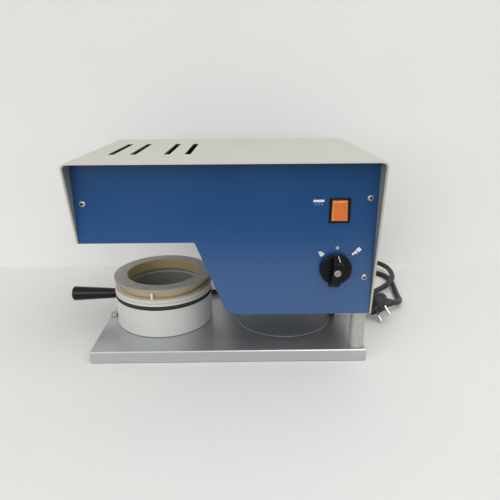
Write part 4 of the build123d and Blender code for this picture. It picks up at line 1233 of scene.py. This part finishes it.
@dataclass
class RearServices:
    """The air inlet, the fuse holder and the cord's strain relief on the rear panel."""

    ribs: int = 7
    rib_depth: float = 0.9
    nut_radius: float = 10.0
    sleeve_radius: float = 8.4
    sleeve_taper: float = 2.5
    tip_radius: float = 5.3

    def build(self) -> None:
        """Builds what shows behind the machine."""
        KeptNode("fuse_holder", MOULDED_BLACK, "switch_black", 0.3).build()
        KeptNode("air_inlet", BRASS, "brass", 0.25).build()
        KeptNode("panel_nuts", PLATED, "screw_steel", 0.2).build()
        self.build_gland()

    def build_gland(self) -> None:
        """Turns the tapered strain relief, ribbed so that it bends with the cord."""
        low, high = drawn_box("cord_gland")
        centre = middle("cord_gland")
        collar = drawn_box("rear_panel")[1].y - low.y
        length = high.y - low.y
        start = collar + 6.0
        nut = self.nut_radius
        corners = [
            (0, 0, 0), (6.8, 0, 0.4), (7.0, collar, 0), (nut, collar, 0.3), (nut, collar + 5.0, 0.6),
            (8.0, start, 0.2),
        ]
        pitch = (length - start) / self.ribs
        for rib in range(self.ribs):
            here = start + pitch * rib
            radius = self.sleeve_radius - self.sleeve_taper * (here - start) / (length - start)
            low_radius = radius - self.rib_depth
            corners += [
                (radius, here + pitch * 0.1, 0.15), (radius - 0.2, here + pitch * 0.6, 0.3),
                (low_radius, here + pitch * 0.65, 0.15), (low_radius, here + pitch * 0.95, 0.15),
            ]
        corners += [(self.tip_radius, length, 0.4), (0, length, 0)]
        bm = turned(rounded(corners, 3), (centre.x, low.y, centre.z), ALONG_Y, steps=64)
        make_piece("cord_gland_ribbed", bm, [PLUG_SKIN], stands_for=["cord_gland"])


@dataclass
class MainsCord:
    """The mains cord with its put-away coil, its loose tail and its angled plug."""

    radius: float = 4.5
    coil_pitch: float = 10.4
    coil_half_turns: int = 4
    coil_inner: float = 28.6
    coil_floor: float = 4.6
    coil_y: float = 290.0
    points_per_half_turn: int = 8
    real_length: float = 2.13
    plug_face: tuple[float, float, float] = (417.8, 115.4, 20.4)
    pin_direction: tuple[float, float, float] = (0.32, -0.77, -0.55)
    exit_direction: tuple[float, float, float] = (0.81, 0.52, -0.27)
    plug_radius: float = 18.5
    plug_depth: float = 20.0
    exit_length: float = 38.0
    exit_depth: float = 11.0
    pin_radius: float = 2.4
    pin_length: float = 19.0
    pin_spacing: float = 19.0
    sleeve_ribs: int = 5
    grip_cut: float = 1.6
    grip_half_width: float = 3.6
    grip_length: float = 11.0
    bend_length: float = 12.0
    lead_in: float = 18.0
    drop_shape: tuple[tuple[float, float], ...] = (
        (0, 0), (30, 0), (62, 20), (80, 56), (86, 94), (70, 122),
    )
    tail: tuple[tuple[float, float, float], ...] = field(default_factory=lambda: (
        (0, 24, 4.6), (16, 48, 4.6), (52, 60, 4.6), (100, 61, 4.6), (150, 60, 5.5),
    ))
    loops: tuple[tuple[float, float, float], ...] = field(default_factory=lambda: (
        (421, 357, 8.0), (455, 351, 12.5), (477, 331, 14.2), (486, 304, 14.2), (485, 276, 14.2),
        (478, 250, 14.2), (463, 227, 13.0), (442, 209, 10.5), (416, 194, 7.0), (396, 183, 4.6),
        (381, 195, 4.6), (379, 221, 4.6), (386, 251, 4.6), (402, 280, 4.6), (425, 301, 4.6),
        (452, 308, 4.6), (470, 299, 4.6), (479, 277, 4.6),
        (479, 252, 4.6), (476, 228, 4.6), (472, 203, 4.6), (470, 182, 6.2), (465.5, 164, 9.4),
    ))

    def build(self) -> None:
        """Builds the plug and its pins, and then the cord that ends in it."""
        plug = self.build_plug()
        pins = self.build_pins()
        self.build_cord()

    def plug_frame(self) -> Matrix:
        """Gives the plug's own frame: X across the pins, Y towards the cord, Z along the pins."""
        pins = Vector(self.pin_direction).normalized()
        rough = Vector(self.exit_direction)
        towards_cord = (rough - pins * rough.dot(pins)).normalized()
        across = towards_cord.cross(pins)
        turn = Matrix((across, towards_cord, pins)).transposed().to_4x4()
        return Matrix.Translation(self.plug_face) @ turn

    def coil_points(self) -> list[Vector]:
        """Winds the coil: in along the upper layer and out again along the lower one.

        Returns:
            Points along the turns, in the drawing's millimetres.
        """
        gland = middle("cord_gland")
        outer = self.coil_inner + self.coil_pitch / 2 * self.coil_half_turns
        upper = self.coil_floor + self.coil_pitch
        centre = Vector((gland.x - outer, self.coil_y, 0))
        turns = [(outer - self.coil_pitch / 2 * index, upper) for index in range(self.coil_half_turns + 1)]
        turns.append((self.coil_inner - self.coil_pitch / 4, self.coil_floor))
        for index in range(self.coil_half_turns):
            turns.append((self.coil_inner + self.coil_pitch / 2 * (index + 0.95), self.coil_floor))
        points = []
        for index, ((start, start_z), (end, end_z)) in enumerate(zip(turns, turns[1:])):
            side = 1 if index % 2 == 0 else -1
            for step in range(self.points_per_half_turn):
                angle = math.pi * step / self.points_per_half_turn
                reach = (start + end) / 2
                across = side * ((start - end) / 2 + reach * math.cos(angle))
                height = start_z + (end_z - start_z) * (1 - math.cos(angle)) / 2
                points.append(centre + Vector((across, -side * reach * math.sin(angle), height)))
        side = 1 if len(turns) % 2 else -1
        points.append(centre + Vector((side * turns[-1][0], 0, turns[-1][1])))
        return points

    def route(self) -> list[Vector]:
        """Lists the cord's points from the strain relief to the plug, in the drawing's millimetres."""
        gland = middle("cord_gland")
        tip = drawn_box("cord_gland")[1].y
        coil = self.coil_points()
        start, finish = coil[0], coil[-1]
        straight = 2 * self.radius
        drop = [(gland.x, tip + out, gland.z - down) for out, down in self.drop_shape]
        drop.append((gland.x, start.y + straight + self.lead_in, start.z))
        place = self.plug_frame()
        end = place @ Vector((0, self.exit_length, -self.exit_depth))
        before_end = place @ Vector((0, self.exit_length + self.bend_length, -self.exit_depth))
        after = [Vector((finish.x, finish.y + straight, finish.z))]
        after += [after[0] + Vector((x, y, z - finish.z)) for x, y, z in self.tail]
        after += [Vector(point) for point in self.loops]
        return [Vector(point) for point in drop] + coil + after + [before_end, end]

    def build_cord(self) -> None:
        points = [TO_FRAME @ point for point in self.route()]
        curve = bpy.data.curves.new("mains_cord", "CURVE")
        curve.dimensions = "3D"
        curve.bevel_depth = self.radius * MILLIMETRE
        curve.bevel_resolution = 5
        curve.use_fill_caps = True
        curve.resolution_u = 8
        spline = curve.splines.new("NURBS")
        spline.points.add(len(points) - 1)
        for spot, point in zip(spline.points, points):
            spot.co = (*point, 1.0)
        spline.order_u = 3
        spline.use_endpoint_u = True
        curve.materials.append(CORD_SKIN.material())
        cord = bpy.data.objects.new("mains_cord", curve)
        bpy.context.scene.collection.objects.link(cord)
        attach(cord, "root")
        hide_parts("cord_drop", "cord_coil", "cord_tail")
        log.info("mains_cord: %d points", len(points))

    def build_plug(self) -> bpy.types.Object:
        """Models the plug's body: a round face with side grips, earth slots and a ribbed sleeve.

        Returns:
            The plug's body.
        """
        face = self.plug_radius
        depth = self.plug_depth
        disc = turned(rounded([
            (0, -depth, 0), (face - 1, -depth, 6.0), (face, -depth + 8, 0.6), (face - 0.6, -depth + 9, 0.3),
            (face - 0.6, -3.5, 0.3), (face, -2.5, 0.3), (face, 0, 0.8), (face - 2.0, 0, 0.3),
            (face - 2.6, -0.6, 0.3), (3.4, -0.6, 0.2), (3.2, 0, 0.2), (2.4, 0, 0.2), (2.4, -6, 0), (0, -6, 0),
        ], 4), (0, 0, 0), steps=72)
        for side in (-1, 1):
            for vert in disc.verts:
                beyond = side * vert.co.y - (face - self.grip_cut)
                in_grip = abs(vert.co.x) < self.grip_half_width and vert.co.z > -self.grip_length
                if beyond > 0 and in_grip:
                    vert.co.y -= side * beyond
        corners = [(0, 0, 0), (9.4, 0, 0), (9.2, face - 2, 2.0), (8.0, face + 1.5, 1.0)]
        pitch = (self.exit_length - face - 3) / self.sleeve_ribs
        for rib in range(self.sleeve_ribs):
            here = face + 2 + pitch * rib
            radius = 8.2 - 2.2 * rib / self.sleeve_ribs
            corners += [
                (radius, here + pitch * 0.1, 0.1), (radius - 0.3, here + pitch * 0.6, 0.2),
                (radius - 0.9, here + pitch * 0.66, 0.1), (radius - 0.9, here + pitch * 0.95, 0.1),
            ]
        corners += [(5.7, self.exit_length, 0.4), (0, self.exit_length, 0)]
        sleeve = turned(rounded(corners, 3), (0, 0, -self.exit_depth), ALONG_Y, steps=56)
        bm = joined([disc, sleeve])
        bmesh.ops.transform(bm, matrix=self.plug_frame(), verts=bm.verts)
        return make_piece("plug_body_moulded", bm, [PLUG_SKIN], stands_for=["plug_body"])

    def build_pins(self) -> bpy.types.Object:
        """Turns the two round pins with their domed tips.

        Returns:
            The pins.
        """
        radius, length = self.pin_radius, self.pin_length
        parts = []
        for side in (-1, 1):
            profile = rounded([(0, 0, 0), (radius, 0, 0), (radius, length, 1.8), (0, length, 0)], 6)
            parts.append(turned(profile, (side * self.pin_spacing / 2, 0, 0), steps=40))
        bm = joined(parts)
        bmesh.ops.transform(bm, matrix=self.plug_frame(), verts=bm.verts)
        return make_piece("plug_pins_turned", bm, [BRIGHT], stands_for=["plug_pins"])


@dataclass
class Innards:
    """The pieces inside the housing, which keep their shape and get their finishes."""

    finishes: tuple[tuple[Finish, tuple[str, ...]], ...] = (
        (MACHINED, ("cylinder_barrel", "cylinder_cap", "piston", "selector_valve")),
        (PLATED, ("cylinder_bolts", "return_spring", "post_screws", "selector_shaft", "tie_bars")),
        (RUBBER, ("piston_seal",)),
        (BRASS, ("air_fittings", "switch_blades")),
        (HOSE_BLUE, ("air_hoses",)),
        (CERAMIC, ("terminal_blocks",)),
    )

    def build(self) -> None:
        """Dresses each node in place."""
        for finish, nodes in self.finishes:
            for node in nodes:
                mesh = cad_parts[node].data
                mesh.materials.clear()
                mesh.materials.append(finish.material())
                log.info("%s: dressed in %s", node, finish.name)


@dataclass
class Studio:
    """The pale floor and wall, the soft light and the camera at the photograph's angle."""

    focal_pixels: float = 471.68
    image_width: float = 500.0
    sensor: float = 36.0
    eye: tuple[float, float, float] = (207.61, -552.81, 351.09)
    pitch: float = 19.12
    yaw: float = 0.56
    roll: float = -0.33
    wall_y: float = 366.0
    table_front: float = -430.0
    sheet_half: float = 3.0
    floor_colour: tuple[float, float, float] = (222, 221, 218)
    wall_colour: tuple[float, float, float] = (233, 232, 229)
    sky_colour: tuple[float, float, float, float] = (0.98, 0.99, 1.0, 1.0)
    backdrop_colour: tuple[float, float, float, float] = (0.75, 0.75, 0.74, 1.0)
    sky_above: float = 0.8
    sky_below: float = 0.024
    horizon: float = 0.04
    key_power: float = 10.0
    key_place: tuple[float, float, float] = (0.6, -0.6, 1.5)
    key_size: float = 1.2
    fill_power: float = 7.5
    fill_place: tuple[float, float, float] = (-0.9, -1.4, 0.85)
    lamp_target: tuple[float, float, float] = (0.0, 0.0, 0.12)

    def build(self) -> None:
        """Sets the stage, the lamps, the world and the camera."""
        self.build_stage()
        self.build_light()
        self.build_camera()
        bpy.context.scene.view_settings.view_transform = "Standard"

    def build_stage(self) -> None:
        """Lays the floor and stands the wall behind the table."""
        wall = (TO_FRAME @ Vector((0, self.wall_y, 0))).y
        edge = (TO_FRAME @ Vector((0, self.table_front, 0))).y
        half_depth = (wall - edge) / 2
        shallower = Matrix.Scale(half_depth / self.sheet_half, 4, ALONG_Y)
        upright = Matrix.Rotation(math.pi / 2, 4, "X")
        sheets = {
            "floor": (self.floor_colour, Matrix.Translation((0, edge + half_depth, 0)) @ shallower),
            "wall": (self.wall_colour, Matrix.Translation((0, wall, self.sheet_half)) @ upright),
        }
        for name, (colour, place) in sheets.items():
            bm = bmesh.new()
            bmesh.ops.create_grid(bm, x_segments=2, y_segments=2, size=self.sheet_half, matrix=place)
            mesh = bpy.data.meshes.new(name)
            bm.to_mesh(mesh)
            bm.free()
            paint = Finish(f"{name}_paint", colour, 0.7, drift=0.01, grain_strength=0.05).material()
            self.clear_from_behind(paint.node_tree)
            mesh.materials.append(paint)
            sheet = bpy.data.objects.new(name, mesh)
            bpy.context.scene.collection.objects.link(sheet)

    @staticmethod
    def clear_from_behind(tree: bpy.types.NodeTree) -> None:
        """Makes a sheet's back side clear, so that a camera behind it sees the machine.

        Args:
            tree: the sheet's material.
        """
        output = next(node for node in tree.nodes if node.type == "OUTPUT_MATERIAL")
        painted = output.inputs["Surface"].links[0].from_socket
        behind = add_node(tree, "ShaderNodeNewGeometry", {}).outputs["Backfacing"]
        clear = add_node(tree, "ShaderNodeBsdfTransparent", {}).outputs[0]
        side = add_node(tree, "ShaderNodeMixShader", {0: behind, 1: painted, 2: clear}).outputs[0]
        tree.links.new(side, output.inputs["Surface"])

    def build_light(self) -> None:
        """Hangs a broad key lamp and a weaker fill under a pale sky."""
        target = Vector(self.lamp_target)
        for name, power, place, size in (
            ("key_lamp", self.key_power, self.key_place, self.key_size),
            ("fill_lamp", self.fill_power, self.fill_place, self.key_size),
        ):
            lamp = bpy.data.lights.new(name, "AREA")
            lamp.energy = power
            lamp.size = size
            holder = bpy.data.objects.new(name, lamp)
            holder.location = place
            holder.rotation_euler = (target - Vector(place)).to_track_quat("-Z", "Y").to_euler()
            bpy.context.scene.collection.objects.link(holder)
        self.build_sky()

    def build_sky(self) -> None:
        """Makes a sky that is dark below the horizon, and plain pale to the camera."""
        world = bpy.data.worlds.new("pale_sky")
        world.use_nodes = True
        tree = world.node_tree
        tree.nodes.clear()
        heading = add_node(tree, "ShaderNodeTexCoord", {}).outputs["Generated"]
        height = add_node(tree, "ShaderNodeSeparateXYZ", {0: heading}).outputs["Z"]
        glow = map_range(tree, height, (-self.horizon, 0.0), (self.sky_below, self.sky_above))
        light = {"Color": self.sky_colour, "Strength": glow}
        lit = add_node(tree, "ShaderNodeBackground", light).outputs[0]
        pale = add_node(tree, "ShaderNodeBackground", {"Color": self.backdrop_colour}).outputs[0]
        seen = add_node(tree, "ShaderNodeLightPath", {}).outputs["Is Camera Ray"]
        blend = add_node(tree, "ShaderNodeMixShader", {0: seen, 1: lit, 2: pale}).outputs[0]
        add_node(tree, "ShaderNodeOutputWorld", {"Surface": blend})
        bpy.context.scene.world = world

    def build_camera(self) -> None:
        """Places the camera where the photograph was taken from."""
        pitch, yaw, roll = (math.radians(angle) for angle in (self.pitch, self.yaw, self.roll))
        ahead = Vector((math.sin(yaw) * math.cos(pitch), math.cos(yaw) * math.cos(pitch), -math.sin(pitch)))
        right = Vector((math.cos(yaw), -math.sin(yaw), 0))
        above = right.cross(ahead)
        level_right = right * math.cos(roll) + above * math.sin(roll)
        level_up = above * math.cos(roll) - right * math.sin(roll)
        turn = Matrix((level_right, level_up, -ahead)).transposed().to_4x4()
        lens = bpy.data.cameras.new("camera")
        lens.sensor_width = self.sensor
        lens.lens = self.focal_pixels / self.image_width * self.sensor
        lens.clip_start = 0.01
        camera = bpy.data.objects.new("camera", lens)
        camera.matrix_world = Matrix.Translation(TO_FRAME @ Vector(self.eye)) @ turn
        bpy.context.scene.collection.objects.link(camera)
        bpy.context.scene.camera = camera


def main() -> None:
    """Builds the studio and every sub-assembly in order."""
    logging.basicConfig(level=logging.INFO, format="%(message)s")
    assemblies = (
        Studio(), RearServices(), MainsCord(), Base(), Posts(), Housing(), Heater(), Pot(), PressUnit(),
        Controls(), Innards(),
    )
    for assembly in assemblies:
        assembly.build()
        log.info("%s is built", type(assembly).__name__)


if __name__ == "__main__":
    main()
